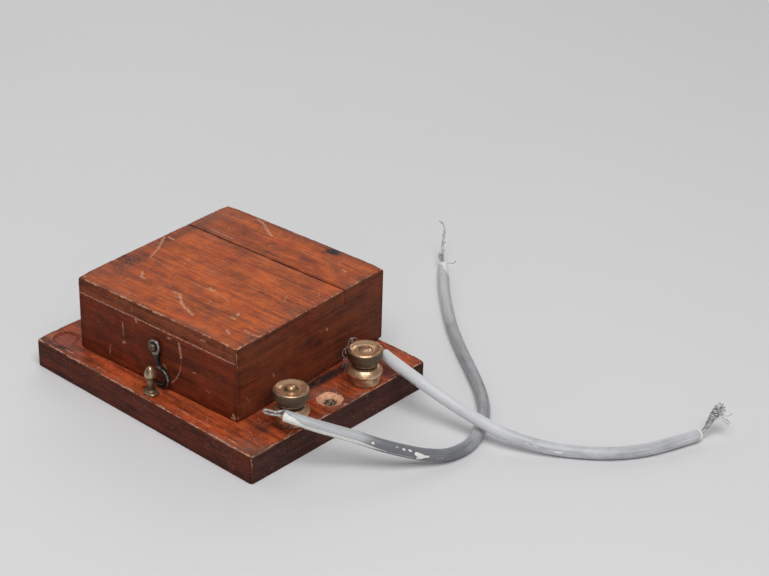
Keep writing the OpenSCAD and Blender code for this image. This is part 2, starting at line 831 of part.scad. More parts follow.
// Wires held by the baseboard and the works
function under_loop(side) =
    arc(
        [terminal_x, side * terminal_y], loop_r, under_loop_z,
        side * under_loop_from, -side * under_loop_turn
    );
module front_feed_wire() {
    coil_side = right_coil_x + winding_d / 2 + fit_gap;
    run = [
        [terminal_x, -riser_y, under_loop_z], [front_riser_x, -riser_y, under_loop_z],
        [front_riser_x, -riser_y, feed_rise], [front_riser_x, coil_tap_y, feed_rise],
        [front_riser_x, coil_tap_y, coil_z], [coil_side, coil_tap_y, coil_z]
    ];
    bends = rounded(run, wire_bend_r);
    color("darkred")
        tube(concat(under_loop(-1), [for (i = [1 : len(bends) - 1]) bends[i]]), wire_d);
}
module rear_feed_wire() {
    pillar_at = [works_x + contact_x, cover_y + pillar_y - pillar_d / 2 - fit_gap];
    turn_y = pillar_at[1] - wire_turn;
    run = [
        [terminal_x, riser_y, under_loop_z], [rear_riser_x, riser_y, under_loop_z],
        [rear_riser_x, riser_y, wire_lie], [rear_riser_x, turn_y, wire_lie],
        [pillar_at[0], turn_y, wire_lie], [pillar_at[0], pillar_at[1], wire_lie]
    ];
    bends = rounded(run, wire_bend_r);
    color("darkred")
        tube(concat(under_loop(1), [for (i = [1 : len(bends) - 1]) bends[i]]), wire_d);
}
module coil_link_wire() {
    from_x = left_coil_x + winding_d / 2 + fit_gap;
    to_x = right_coil_x - winding_d / 2 - fit_gap;
    color("darkred")
        tube([[from_x, coil_link_y, coil_z], [to_x, coil_link_y, coil_z]], wire_d);
}
module armature_wire() {
    coil_side = left_coil_x - winding_d / 2 - fit_gap;
    post_back = spring_y + spring_t / 2 + spring_post_d / 2;
    post_at = [works_x + spring_post_x, cover_y + post_back + fit_gap];
    drop_x = (coil_side + post_at[0]) / 2;
    run = [
        [coil_side, coil_tap_y, coil_z], [drop_x, coil_tap_y, coil_z], [drop_x, coil_tap_y, feed_rise],
        [post_at[0], coil_tap_y, feed_rise], [post_at[0], post_at[1], feed_rise]
    ];
    color("darkred")
        tube(rounded(run, wire_bend_r), wire_d);
}

// Leads
module lead(route) {
    color("lightgray")
        tube(route, lead_d, 10);
}
module lead_conductor(tail, side, from) {
    clamp_r = stud_d / 2 + conductor_d / 2 + 2 * fit_gap;
    clamp_z = collar_top + conductor_d / 2 + fit_gap / 2;
    at = [terminal_x, side * terminal_y];
    turns = arc(at, clamp_r, clamp_z, from, side * clamp_loop_turn);
    color("silver")
        tube(concat(tail, turns), conductor_d);
}
module frayed_end(path) {
    color("silver")
        tube(path, frayed_d);
}

// Cover
module wall_board(length, depth) {
    linear_extrude(wall_h)
        polygon([
            [-length / 2, -depth / 2], [length / 2, -depth / 2],
            [length / 2 - wall_t, -depth / 2 + wall_t], [-length / 2 + wall_t, -depth / 2 + wall_t]
        ]);
}
module cover_front() {
    color("brown")
        difference() {
            at_cover()
                wall_board(cover_w, cover_d);
            at_hook()
                translate([0, 0, -hook_screw_depth - fit_gap])
                    cylinder(d = hook_screw_d + 2 * fit_gap, h = hook_screw_depth + over);
        }
}
module cover_back() {
    color("brown")
        difference() {
            at_cover()
                rotate([0, 0, 180])
                    wall_board(cover_w, cover_d);
            for (side = [-1, 1]) {
                leaf_recess(side, 1);
                leaf_screws(side, 1, fit_gap);
            }
        }
}
module cover_side(turn) {
    color("brown")
        at_cover()
            rotate([0, 0, turn])
                wall_board(cover_d, cover_w);
}
module top_board(from_y, to_y) {
    color("chocolate")
        at_cover()
            translate([-cover_w / 2, from_y, wall_h])
                cube([cover_w, to_y - from_y, top_t]);
}

// Hook
module hook_bar_piece(outline) {
    linear_extrude(hook_t)
        polygon(outline);
}
module hook() {
    far = 3 * hook_bow_r;
    root = hook_bar / 2 + hook_flare;
    bow_top = hook_bow_r - hook_drop;
    lip_from = hook_open_to + hook_lip_overlap;
    lip_root = [hook_bow_x + hook_bow_r * cos(lip_from), hook_bow_r * sin(lip_from) - hook_drop];
    lip_y = -hook_bow_r - hook_drop - hook_lip_drop;
    shank = [
        [-root, -hook_eye_d / 4], [root, -hook_eye_d / 4],
        [hook_bow_x + hook_flare, bow_top + hook_bar / 2], [hook_bow_x, bow_top - hook_bar / 2],
        [hook_bow_x - hook_bar - hook_flare, bow_top]
    ];
    lip = [
        lip_root + [0, hook_bar / 2], lip_root - [0, hook_bar / 2],
        [hook_lip_x, lip_y - hook_lip_tip / 2], [hook_lip_x, lip_y + hook_lip_tip / 2]
    ];
    mouth = [
        [0, 0],
        for (k = [0 : 4])
            let (a = hook_open_from + (hook_open_to - hook_open_from) * k / 4)
                [far * cos(a), far * sin(a)]
    ];
    color("darkslategray")
        at_hook()
            translate([0, 0, hook_gap])
                difference() {
                    union() {
                        cylinder(d = hook_eye_d, h = hook_t);
                        hook_bar_piece(shank);
                        hook_bar_piece(lip);
                        translate([hook_bow_x, -hook_drop, 0])
                            difference() {
                                cylinder(r = hook_bow_r + hook_bar / 2, h = hook_t);
                                translate([0, 0, -over])
                                    cylinder(r = hook_bow_r - hook_bar / 2, h = hook_t + 2 * over);
                                translate([0, 0, -over])
                                    linear_extrude(hook_t + 2 * over)
                                        polygon(mouth);
                            }
                    }
                    translate([0, 0, -over])
                        cylinder(d = hook_screw_d + 2 * run_gap, h = hook_t + 2 * over);
                }
}
module hook_screw() {
    head_z = hook_gap + hook_t + hook_head_gap;
    slot_w = hook_screw_head_d * slot_share;
    color("gray")
        at_hook()
            difference() {
                union() {
                    translate([0, 0, -hook_screw_depth])
                        cylinder(d = hook_screw_d, h = hook_screw_depth + head_z + hook_screw_head_h / 4);
                    translate([0, 0, head_z])
                        cap_head(hook_screw_head_d, hook_screw_head_h);
                }
                translate([-hook_screw_head_d, -slot_w / 2, head_z + hook_screw_head_h - slot_w])
                    cube([2 * hook_screw_head_d, slot_w, slot_w + over]);
            }
}

// Terminal nuts and clamp washers
module clamp_washer(side) {
    color("goldenrod")
        at_terminal(side)
            translate([0, 0, washer_z])
                difference() {
                    cylinder(d = neck_d, h = washer_t);
                    translate([0, 0, -over])
                        cylinder(d = stud_d + 2 * run_gap, h = washer_t + 2 * over);
                }
}
module thumb_nut(side) {
    bore_r = stud_d / 2 + run_gap;
    color("gold")
        at_terminal(side)
            translate([0, 0, nut_z])
                rotate_extrude()
                    polygon([
                        [bore_r, 0], [neck_d / 2, 0], [neck_d / 2, nut_cone_h * nut_foot_share],
                        [nut_d / 2 - nut_edge / 2, nut_cone_h], [nut_d / 2, nut_cone_h + nut_edge / 2],
                        [nut_d / 2, nut_h - nut_edge], [nut_d / 2 - nut_edge, nut_h],
                        [nut_d / 2 - nut_rim_w, nut_h], [bore_r + nut_boss_w, nut_h - nut_dish],
                        [bore_r, nut_h - nut_dish]
                    ]);
}

// Armature and contact
module armature() {
    color("dimgray")
        at_works()
            difference() {
                translate([-armature_len / 2, armature_y, magnet_z - armature_h / 2])
                    cube([armature_len, armature_t, armature_h]);
                for (x = rivet_x)
                    along_y(x, armature_y - over, magnet_z)
                        cylinder(d = rivet_d + 2 * fit_gap, h = armature_t + 2 * over);
            }
}
module armature_spring() {
    start_x = spring_post_x - spring_post_w / 2;
    far_x = rivet_x[1] + rivet_head_d;
    color("lightsteelblue")
        at_works()
            difference() {
                translate([start_x, spring_y, magnet_z - spring_h / 2])
                    cube([far_x - start_x, spring_t, spring_h]);
                along_y(spring_post_x, spring_y - over, magnet_z)
                    cylinder(d = clamp_screw_d + 2 * spring_slot_gap, h = spring_t + 2 * over);
                for (x = rivet_x)
                    along_y(x, spring_y - over, magnet_z)
                        cylinder(d = rivet_d + 2 * fit_gap, h = spring_t + 2 * over);
            }
}
module armature_rivets() {
    color("silver")
        at_works()
            for (x = rivet_x) {
                along_y(x, spring_y - rivet_head_h, magnet_z)
                    cylinder(d = rivet_head_d, h = rivet_head_h);
                along_y(x, spring_y - rivet_head_h / 2, magnet_z)
                    cylinder(d = rivet_d, h = rivet_head_h / 2 + spring_t + armature_t);
            }
}
module armature_contact() {
    color("white")
        at_works()
            along_y(contact_x, contact_y, magnet_z)
                cylinder(d = contact_d, h = contact_t);
}
module contact_point() {
    color("white")
        at_works()
            along_y(contact_x, contact_tip_y - contact_tip_len, magnet_z)
                cylinder(d = contact_tip_d, h = contact_tip_len);
}
module contact_screw() {
    color("gold")
        at_works() {
            along_y(contact_x, screw_end_y, magnet_z)
                cylinder(d = contact_screw_d, h = contact_tip_y - contact_tip_len - screw_end_y);
            along_y(contact_x, screw_end_y, magnet_z)
                cylinder(d = screw_head_d, h = screw_head_t);
        }
}

baseboard();
fixing_hole_plug();
terminal_stud(-1, front_stud_top);  // front_terminal_stud
terminal_stud(1, rear_stud_top);  // rear_terminal_stud
terminal_collar(-1);  // front_terminal_collar
terminal_collar(1);  // rear_terminal_collar
stud_washers();
stud_nuts();
catch_post();
hinge_leaf(-1, -1);  // left_hinge_base_leaf
hinge_leaf(1, -1);  // right_hinge_base_leaf
hinge_pin(-1);  // left_hinge_pin
hinge_pin(1);  // right_hinge_pin
hinge_screws(-1);  // hinge_base_screws
yoke_bracket();
works_screws();
core(-1);  // left_core
core(1);  // right_core
core_screws();
bobbin(-1);  // left_bobbin
bobbin(1);  // right_bobbin
winding(-1);  // left_winding
winding(1);  // right_winding
armature_post();
spring_clamp_screw();
contact_pillar();
contact_lock_nut();
front_feed_wire();
rear_feed_wire();
coil_link_wire();
armature_wire();
lead(front_route);  // front_lead
lead(rear_route);  // rear_lead
lead_conductor(front_tail, -1, front_clamp_from);  // front_lead_conductor
lead_conductor(rear_tail, 1, rear_clamp_from);  // rear_lead_conductor
frayed_end(front_frayed);  // front_lead_frayed_end
frayed_end(rear_frayed);  // rear_lead_frayed_end
cover_front();
cover_back();
cover_side(-90);  // cover_left
cover_side(90);  // cover_right
top_board(-cover_d / 2, cover_d / 2 - top_rear_d - top_seam);  // top_board_front
top_board(cover_d / 2 - top_rear_d, cover_d / 2);  // top_board_rear
hinge_leaf(-1, 1);  // left_hinge_cover_leaf
hinge_leaf(1, 1);  // right_hinge_cover_leaf
hinge_screws(1);  // hinge_cover_screws
hook_screw();
hook();
clamp_washer(-1);  // front_clamp_washer
thumb_nut(-1);  // front_thumb_nut
clamp_washer(1);  // rear_clamp_washer
thumb_nut(1);  // rear_thumb_nut
armature();
armature_spring();
armature_rivets();
armature_contact();
contact_point();
contact_screw();
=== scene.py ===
"""Testing buzzer: a mahogany case with a hook and catch, two brass terminals and two cut leads.

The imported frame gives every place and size. This script dresses it: worn boards, turned brass,
a forged hook, the trembler works under the cover, and the leads with their bare strands.
"""
import json
import math
import random

import bmesh
import bpy
import numpy as np
from bpy.props import FloatProperty, FloatVectorProperty, IntProperty, PointerProperty
from mathutils import Matrix, Vector, noise

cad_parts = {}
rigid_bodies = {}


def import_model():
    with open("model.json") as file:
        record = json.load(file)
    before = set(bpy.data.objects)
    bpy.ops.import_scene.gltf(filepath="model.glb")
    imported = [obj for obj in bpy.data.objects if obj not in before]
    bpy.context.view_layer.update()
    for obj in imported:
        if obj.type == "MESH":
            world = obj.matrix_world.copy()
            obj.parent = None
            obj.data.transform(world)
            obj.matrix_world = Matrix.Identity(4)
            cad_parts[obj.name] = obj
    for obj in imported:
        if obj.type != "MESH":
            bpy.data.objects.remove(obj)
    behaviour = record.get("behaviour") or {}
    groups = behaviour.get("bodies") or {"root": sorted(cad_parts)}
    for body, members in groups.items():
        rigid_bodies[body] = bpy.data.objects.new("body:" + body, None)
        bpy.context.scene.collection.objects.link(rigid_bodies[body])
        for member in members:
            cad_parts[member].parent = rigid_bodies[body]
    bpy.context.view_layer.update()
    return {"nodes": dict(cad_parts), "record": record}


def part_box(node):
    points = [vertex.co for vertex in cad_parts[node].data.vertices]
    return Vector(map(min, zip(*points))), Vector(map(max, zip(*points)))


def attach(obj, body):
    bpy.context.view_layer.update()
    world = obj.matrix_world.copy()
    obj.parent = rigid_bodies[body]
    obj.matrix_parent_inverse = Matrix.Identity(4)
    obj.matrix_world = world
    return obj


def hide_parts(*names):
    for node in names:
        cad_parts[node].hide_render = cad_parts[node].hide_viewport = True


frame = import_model()

bl_info = {
    "name": "Testing Buzzer",
    "version": (1, 0, 0),
    "blender": (4, 5, 0),
    "location": "3D View > Sidebar > Buzzer",
    "description": "Dresses the frame of a testing buzzer with its timber, brass, iron and leads",
    "category": "Object",
}

MM = 0.001


# Settings


def length(name, text, millimetres):
    return FloatProperty(name=name, description=text, default=millimetres * MM, min=0.0,
                         unit="LENGTH", precision=5)


def colour(name, text, red, green, blue):
    return FloatVectorProperty(name=name, description=text, subtype="COLOR_GAMMA", size=3, min=0.0,
                               max=1.0, default=(red / 255, green / 255, blue / 255))


def place(name, text, *millimetres):
    return FloatVectorProperty(name=name, description=text, subtype="TRANSLATION", size=3,
                               default=[x * MM for x in millimetres], precision=5)


def angle(name, text, degrees):
    return FloatProperty(name=name, description=text, default=math.radians(degrees), subtype="ANGLE")


def power(name, text, watts):
    return FloatProperty(name=name, description=text, default=watts, unit="POWER")


class BuzzerCamera(bpy.types.PropertyGroup):
    """Where the photograph was taken from."""

    place: place("Place", "Camera's place in the part's frame", 440.1, -418.0, 369.7)
    azimuth: angle("Azimuth", "Turn round the part, from the front towards the right", 41.24)
    elevation: angle("Elevation", "Height above the horizon", 28.73)
    roll: angle("Roll", "Tilt of the picture", 1.7)
    lens: FloatProperty(name="Lens", description="Focal length on a 36 mm sensor", default=90.73,
                        unit="CAMERA")


class BuzzerCase(bpy.types.PropertyGroup):
    """Sizes of the boards that the case is made of."""

    cover_place: place("Cover place", "Middle of the cover's underside", -2.9, 4.4, 11)
    cover_turn: angle("Cover turn", "Turn of the cover on the baseboard", 2.8)
    cover_width: length("Cover width", "Cover, left to right", 77)
    cover_depth: length("Cover depth", "Cover, front to back", 77.4)
    cover_height: length("Cover height", "Cover, underside to top", 29)
    wall: length("Wall", "Thickness of the cover's walls", 6.5)
    top: length("Top", "Thickness of the top boards", 5.8)
    seam: length("Seam place", "Front edge of the rear top board, forward of the cover's back", 21.4)
    seam_gap: length("Seam gap", "Open seam between the two top boards", 0.4)
    base_width: length("Base width", "Baseboard, left to right", 111.6)
    base_depth: length("Base depth", "Baseboard, front to back", 87.6)
    base_thick: length("Base thickness", "Baseboard, underside to top", 11)
    base_corner: length("Base corner", "Rounding of the baseboard's corners", 1.4)
    arris: length("Arris", "Usual rounding of a worn edge", 0.38)
    chip: length("Chip", "How far a chipped edge goes beyond that", 1.1)


class BuzzerTimber(bpy.types.PropertyGroup):
    """Colours of the varnished mahogany."""

    top_light: colour("Top light", "Light figure of the cover's top", 202, 99, 46)
    top_dark: colour("Top dark", "Dark figure of the cover's top", 126, 56, 32)
    # Edge, wall and cheek are the top's mahogany made darker: painted shade on the cover's upright faces.
    edge_light: colour("Edge light", "Light figure of the top's long edges", 150, 76, 46)
    edge_dark: colour("Edge dark", "Dark figure of the top's long edges", 88, 42, 28)
    wall_light: colour("Wall light", "Light figure of the cover's front and back", 132, 56, 31)
    wall_dark: colour("Wall dark", "Dark figure of the cover's front and back", 82, 36, 22)
    cheek_light: colour("Cheek light", "Light figure of the cover's left and right walls", 132, 68, 43)
    cheek_dark: colour("Cheek dark", "Dark figure of the cover's left and right walls", 92, 48, 33)
    base_light: colour("Base light", "Light figure of the baseboard", 204, 92, 48)
    base_dark: colour("Base dark", "Dark figure of the baseboard", 104, 42, 24)
    # Side and end are the base's mahogany made darker: painted shade on the baseboard's upright faces.
    side_light: colour("Side light", "Light figure of the baseboard's long sides", 106, 48, 32)
    side_dark: colour("Side dark", "Dark figure of the baseboard's long sides", 49, 24, 20)
    end_light: colour("End light", "Light figure of the baseboard's ends", 84, 49, 43)
    end_dark: colour("End dark", "Dark figure of the baseboard's ends", 42, 28, 26)
    pore: colour("Pore", "Open pores and old polish", 56, 26, 18)
    # This colour also paints the shadow along the foot of the cover on the baseboard.
    bare: colour("Bare wood", "Wood where the varnish is gone", 214, 160, 132)
    stain: colour("Stain", "Ink and burn marks", 44, 34, 36)
    haze: colour("Haze", "Greyed, rubbed varnish", 134, 102, 90)


class BuzzerMetal(bpy.types.PropertyGroup):
    """Colours of the metals."""

    brass_bright: colour("Bright brass", "Brass rubbed bright", 246, 200, 158)
    brass_dull: colour("Dull brass", "Brass under old lacquer", 106, 87, 70)
    catch_bright: colour("Bright catch", "Pale brass of the catch, rubbed", 182, 156, 126)
    catch_dull: colour("Dull catch", "Pale brass of the catch, dull", 84, 69, 51)
    # Rubbed iron is also the colour of the hook's painted highlights.
    iron_bright: colour("Rubbed iron", "Iron where its black is rubbed off", 158, 148, 134)
    iron_black: colour("Blackened iron", "Iron under its black", 58, 60, 63)
    tin: colour("Tinned strand", "Tinned copper strands", 222, 222, 219)


class BuzzerLeads(bpy.types.PropertyGroup):
    """The two cut leads."""

    diameter: length("Diameter", "Outside of the sheath", 4.4)
    sheath: length("Sheath", "Thickness of the grey sheath", 0.34)
    # Each lead's light grey also stands for painted highlight and its dark grey for painted shade.
    front_light: colour("Front sheath light", "Rubbed grey of the front lead", 188, 189, 191)
    front_dark: colour("Front sheath dark", "Dull grey of the front lead", 112, 114, 118)
    rear_light: colour("Rear sheath light", "Rubbed grey of the rear lead", 214, 215, 218)
    rear_dark: colour("Rear sheath dark", "Dull grey of the rear lead", 140, 142, 147)
    inner: colour("Inner", "White plastic under the sheath", 244, 243, 238)
    strand: length("Strand", "Diameter of one strand", 0.36)
    seed: IntProperty(name="Seed", description="Seed of the strands' loose lay", default=11)


class BuzzerStage(bpy.types.PropertyGroup):
    """Floor and light."""

    floor: colour("Floor", "Plain floor", 226, 226, 227)
    key: power("Key light", "Power of the overhead light", 9)
    fill: power("Fill light", "Power of the light from the left", 1)
    back: power("Back light", "Power of the light from behind", 5)
    front: power("Front light", "Power of the low light in front", 1)
    sky: FloatProperty(name="Sky", description="Strength of the even light all round", default=0.2,
                       subtype="FACTOR")


class BuzzerSettings(bpy.types.PropertyGroup):
    """Everything that can be changed."""

    camera: PointerProperty(type=BuzzerCamera)
    case: PointerProperty(type=BuzzerCase)
    timber: PointerProperty(type=BuzzerTimber)
    metal: PointerProperty(type=BuzzerMetal)
    leads: PointerProperty(type=BuzzerLeads)
    stage: PointerProperty(type=BuzzerStage)


# Marks of use, in millimetres: scratches are paths and half widths; dark marks and hazes are places, half
# sizes and strengths, and some dark marks on the baseboard are painted shadow. Those of the top, front and
# right are in the cover's own frame.

TOP_SCRATCHES = [
    ([(-22, 37.4), (-18, 36.2), (-14.5, 34), (-11.5, 32), (-8.6, 30.8)], 0.55),
    ([(-37.5, 3.4), (-35, -0.6), (-32.6, -4.6), (-31, -8.4), (-30, -11)], 0.42),
    ([(-30, -11.2), (-24, -11.9), (-19, -13), (-14.5, -14.2)], 0.14),
    ([(-6, -15), (1, -14.8), (9.6, -15), (12.4, -15.8), (14.2, -17)], 0.2),
    ([(2.2, -13.6), (4, -14.4), (4.8, -13.8)], 0.5),
    ([(-24.2, -21), (-22.6, -22.4), (-22.2, -23.6), (-20, -23.8)], 0.5),
    ([(-5.4, -23.8), (-2, -24.2), (0, -26), (2.6, -28.4), (6.6, -29.8), (11, -31.4)], 0.5),
    ([(-2.6, -26.6), (-0.6, -25.2)], 0.3), ([(22.2, -20.6), (22.9, -21.6)], 0.55),
    ([(21.8, -23.4), (23.6, -23.9)], 0.5), ([(25.8, 1.2), (27, -1.4), (28, -3.8)], 0.2),
    ([(9, -19.8), (9.3, -22.4)], 0.22), ([(-24.2, -27.4), (-24, -30.6)], 0.24),
    ([(31.6, -27.2), (35, -28), (38, -27.2)], 0.34), ([(26.6, -31.2), (29.4, -32.4)], 0.4),
    ([(-36, 4.6), (-33.6, 4.2)], 0.5), ([(-37.6, -36.6), (-36, -37.4)], 0.4),
    ([(-29, 19.6), (-24, 19.5), (-18, 19.4)], 0.16), ([(-4, 24), (-2.4, 26.2)], 0.16),
    ([(32, 10.6), (34.6, 7.6)], 0.14), ([(-21, 8.2), (-19, 8)], 0.2), ([(-19, -3.4), (-17.4, -3.8)], 0.3),
    ([(28, 28), (30, 27.6)], 0.35),
]
TOP_STAINS = [
    (-32, 18.4, 6, 1.2, 0.5), (-20, 16.6, 7, 0.6, 0.4), (30, -34, 5, 1.6, 0.3), (2, 20, 9, 0.5, 0.45),
    (-34, -30, 3, 5, 0.3), (36.4, -30, 2, 6, 0.35), (12, -4, 10, 0.5, 0.35), (-12, -18, 8, 0.6, 0.3),
    (24, 14, 8, 0.5, 0.4), (16.4, 36, 3.4, 2.2, 1.0), (14, 33.6, 1.6, 1.4, 0.5), (13, 24.8, 3.4, 2, 0.35),
    (1, -35, 0.7, 0.5, 0.9), (-6.4, -32.6, 2.6, 1.4, 0.35), (8, 10.8, 4.4, 0.5, 0.55),
    (16, 7.2, 5, 0.5, 0.5), (27, 4.6, 6, 0.4, 0.4), (22.4, -22.4, 0.6, 0.4, 0.6),
    (-37.6, -17, 1.2, 1.6, 0.6), (-8, -3.6, 2.6, 1.4, 0.18), (-15, -4.2, 5, 0.35, 0.35),
    (20, -33, 7, 1.2, 0.2), (-30, -25, 5, 1.8, 0.22), (-35, 8, 3.5, 22, 0.45), (-33, -18, 6, 13, 0.5),
    (-22, -26, 7, 4, 0.22), (6, 4, 9, 1.2, 0.28), (-6, 10, 8, 0.8, 0.3),
]
TOP_HAZE = [
    (20, -37.6, 18, 1.6, 0.4), (-20, -37.4, 14, 1.8, 0.35), (36, -6, 3, 8, 0.3), (-30, 33, 6, 5, 0.4),
    (-37.5, 26, 5, 16, 0.75), (-38, -4, 3, 14, 0.5), (-37, -30, 4, 7, 0.45), (38, 20, 1.6, 20, 0.3),
    (38, -24, 2.4, 14, 0.4), (-24, 16, 9, 3, 0.35), (0, 38, 30, 1.4, 0.35), (-6, -4, 3, 2, 0.3),
    (-26, 18.6, 12, 2.2, 0.55), (-2, 16.6, 12, 1.2, 0.4), (-35, 24, 4, 8, 0.4), (-33, -24, 5, 9, 0.3),
]
FRONT_SCRATCHES = [
    # The first is a pale line along the whole joint of the front wall and the top board.
    ([(-38.5, 22.95), (38.5, 22.95)], 0.26), ([(11.2, 21), (11.8, 18.6), (12.1, 15.6)], 0.42),
    ([(12.1, 15.6), (12, 12.6), (11.4, 9.8), (9.8, 6.6), (8, 4.2), (6.4, 2.6)], 0.2),
    ([(-16.4, 18.6), (-16.2, 15.6), (-16.2, 13.4)], 0.26), ([(-16.6, 10.6), (-15.6, 10.9)], 0.45),
    ([(-23.2, 7), (-23.6, 3)], 0.2), ([(3.4, 9.4), (4.8, 8.4)], 0.35), ([(5.8, 21), (7.4, 21.2)], 0.3),
    ([(22.2, 26.4), (23.8, 26.6)], 0.45), ([(-12, 27), (-11.4, 25)], 0.22),
    ([(-10, 22.9), (-9.4, 21.6)], 0.4), ([(17.4, 11.8), (19, 12)], 0.2), ([(24, 7.2), (25.4, 6.8)], 0.2),
    ([(36.4, 2.6), (37.4, 1.4)], 0.5), ([(35.6, 1), (37.2, 0.8)], 0.4),
]
FRONT_STAINS = [
    (-30, 8, 6, 8, 0.2), (20, 15, 7, 5, 0.15), (0, 2, 9, 3, 0.4), (-8, 15, 4, 6, 0.15),
]
RIGHT_SCRATCHES = [
    ([(7.4, 17.4), (7.9, 16.6)], 0.35), ([(-20.8, 11.8), (-20.2, 10.2)], 0.3),
    ([(3.6, 18), (4.4, 17)], 0.14), ([(24, 11), (25, 9)], 0.16), ([(-33, 6), (-34, 8)], 0.2),
]
RIGHT_STAINS = [
    (0, 22.9, 40, 0.3, 0.6), (-22, 27, 16, 1.6, 0.4), (-1.6, 16.4, 3.6, 3, 0.5), (2.6, 13.6, 3.4, 2.4, 0.5),
    (-22, 4, 7, 4, 0.5), (16, 4, 6, 4, 0.4),
]
BASE_SCRATCHES = [
    ([(-26, -41.4), (-18, -41), (-9, -41.6)], 0.16), ([(14, -40), (24, -40.6), (33, -40.2)], 0.2),
    ([(53.8, 0.1), (54.6, 1)], 0.3), ([(54.4, 2.4), (55.4, 3)], 0.26), ([(52.6, 9), (55, 12)], 0.2),
    ([(44, 8.4), (42.4, 10.6)], 0.25), ([(54, 28), (55.2, 33)], 0.35), ([(-50, -30), (-47, -33)], 0.3),
    ([(44, -33), (50, -36)], 0.2), ([(40, -40.8), (47, -41.6)], 0.3), ([(-44, -41.8), (-38, -41.2)], 0.3),
    ([(53.8, -22), (55, -26)], 0.3), ([(46, 31), (52, 36)], 0.16),
]
# Four of these are painted shadow: lines along the foot of the cover's front (-3, -36) and right side (38,
# 8), and patches by the cover's front right corner (47, -30) and (45, -29).
BASE_STAINS_AND_SHADE = [
    (48, 12, 7, 10, 0.3), (47, -30, 9, 8, 0.3), (49, -6, 5, 6, 0.25), (-2.6, -38.6, 1.1, 0.9, 0.8),
    (-54, -42, 6, 4, 0.45), (54, -42, 4, 4, 0.4), (38, 8, 3.2, 28, 0.8), (45, -29, 7, 6, 0.52),
    (44, -40, 5, 2, 0.25), (46, 30, 3, 3, 0.3), (-50, -8, 7, 26, 0.45), (-3, -36, 42, 0.9, 0.55),
    (-45, -41.4, 10, 2, 0.7), (-40, -38, 10, 3, 0.45), (-28, -40, 9, 2.6, 0.45),
]
BASE_HAZE = [
    (-53, -40, 7, 6, 0.65), (-50, -28, 6, 5, 0.4), (-42, -40, 9, 3, 0.35), (51.5, -40.5, 7, 5, 0.9),
    (43, 1.2, 3, 4, 0.8), (45.6, 5.8, 3, 2, 0.5), (45, -43.4, 11, 1.5, 0.95), (55, -40, 1.5, 6, 0.9),
    (50, 22, 4, 5, 0.25), (54.6, 6, 1.5, 30, 0.4), (-20, -43, 30, 0.9, 0.4), (-46, -33, 4, 3, 0.3),
    (30, -43, 24, 0.8, 0.35),
]

# Lead routes and strand paths, in millimetres, as the source gives them

FRONT_ROUTE = [
    (53.9, -26.4, 18.6), (58.1, -24.5, 18), (62, -22.2, 17.1), (67, -17.8, 15.1), (73.2, -12, 12.4),
    (79.8, -6.5, 9.6), (85.6, -0.2, 6.8), (90.2, 6.4, 4.3), (93.5, 13.4, 2.8), (94.2, 23, 2.3),
    (90.4, 33.5, 2.3), (83.8, 43.8, 2.3), (74.5, 53, 2.3), (63.5, 61.4, 2.3), (51.7, 69.9, 2.3),
    (39.7, 79.2, 2.3), (28, 89.6, 2.3), (16.6, 100.9, 2.3), (9.6, 108.6, 2.3), (2.6, 116.5, 2.3),
]
REAR_ROUTE = [
    (49.6, 28.4, 17.5), (54, 27.6, 17.2), (59, 27.2, 16.5), (66.9, 27.2, 14.8), (72.9, 27.9, 12.9),
    (78.8, 29.1, 10.8), (85.8, 30.2, 8.8), (93.6, 31.1, 7.3), (100.4, 32.6, 5.9), (106.5, 35.1, 4.6),
    (113, 38.6, 3.3), (118.7, 42.5, 2.4), (124.5, 46.5, 2.3), (129.7, 50.6, 2.3), (135.7, 57.1, 2.3),
    (140.6, 64.9, 2.3), (144.4, 74.5, 2.3), (147.8, 84.6, 2.3),
]
FRONT_TAIL = [
    (53.9, -26.4, 18.6), (51.6, -26.9, 18.2), (48.9, -27.9, 17.8), (46.5, -28.3, 17.6), (45.3, -27.6, 17.6),
    (46.2, -26.6, 17.7), (49.2, -25.9, 17.9), (50.4, -24, 18),
]
REAR_TAIL = [
    (49.6, 28.4, 17.5), (47, 28.5, 17.5), (44.6, 27.5, 17.6), (43.2, 25.2, 17.7), (43.4, 22.4, 17.8),
    (44.8, 20.2, 18),
]
FRONT_FRAYED = [
    (2.6, 116.5, 2.3), (0.2, 118.8, 4.2), (-2.8, 122.2, 8), (-4.4, 125, 12), (-5.8, 126, 14.2),
    (-7.6, 125.2, 16),
]
REAR_FRAYED = [
    (147.8, 84.6, 2.3), (148.7, 87, 4.4), (148.8, 89.4, 6.8), (148.9, 91.6, 8.3), (149.2, 93.4, 9),
]
# The strands' turn round a stud: radius, height and angles past the first in degrees
CLAMP_RADIUS, CLAMP_HEIGHT, CLAMP_DEGREES = 2.95, 18.025, [22.5 * k for k in range(13)]

# Slits in the sheaths: places along a lead and round it, in millimetres and degrees, and half widths. Far
# ones are measured back from the lead's far end. Wear and light lists are places along a lead and how light
# its grey is there: partly how rubbed it is, partly painted highlight near the terminals and painted shade
# where the leads drop to the floor.

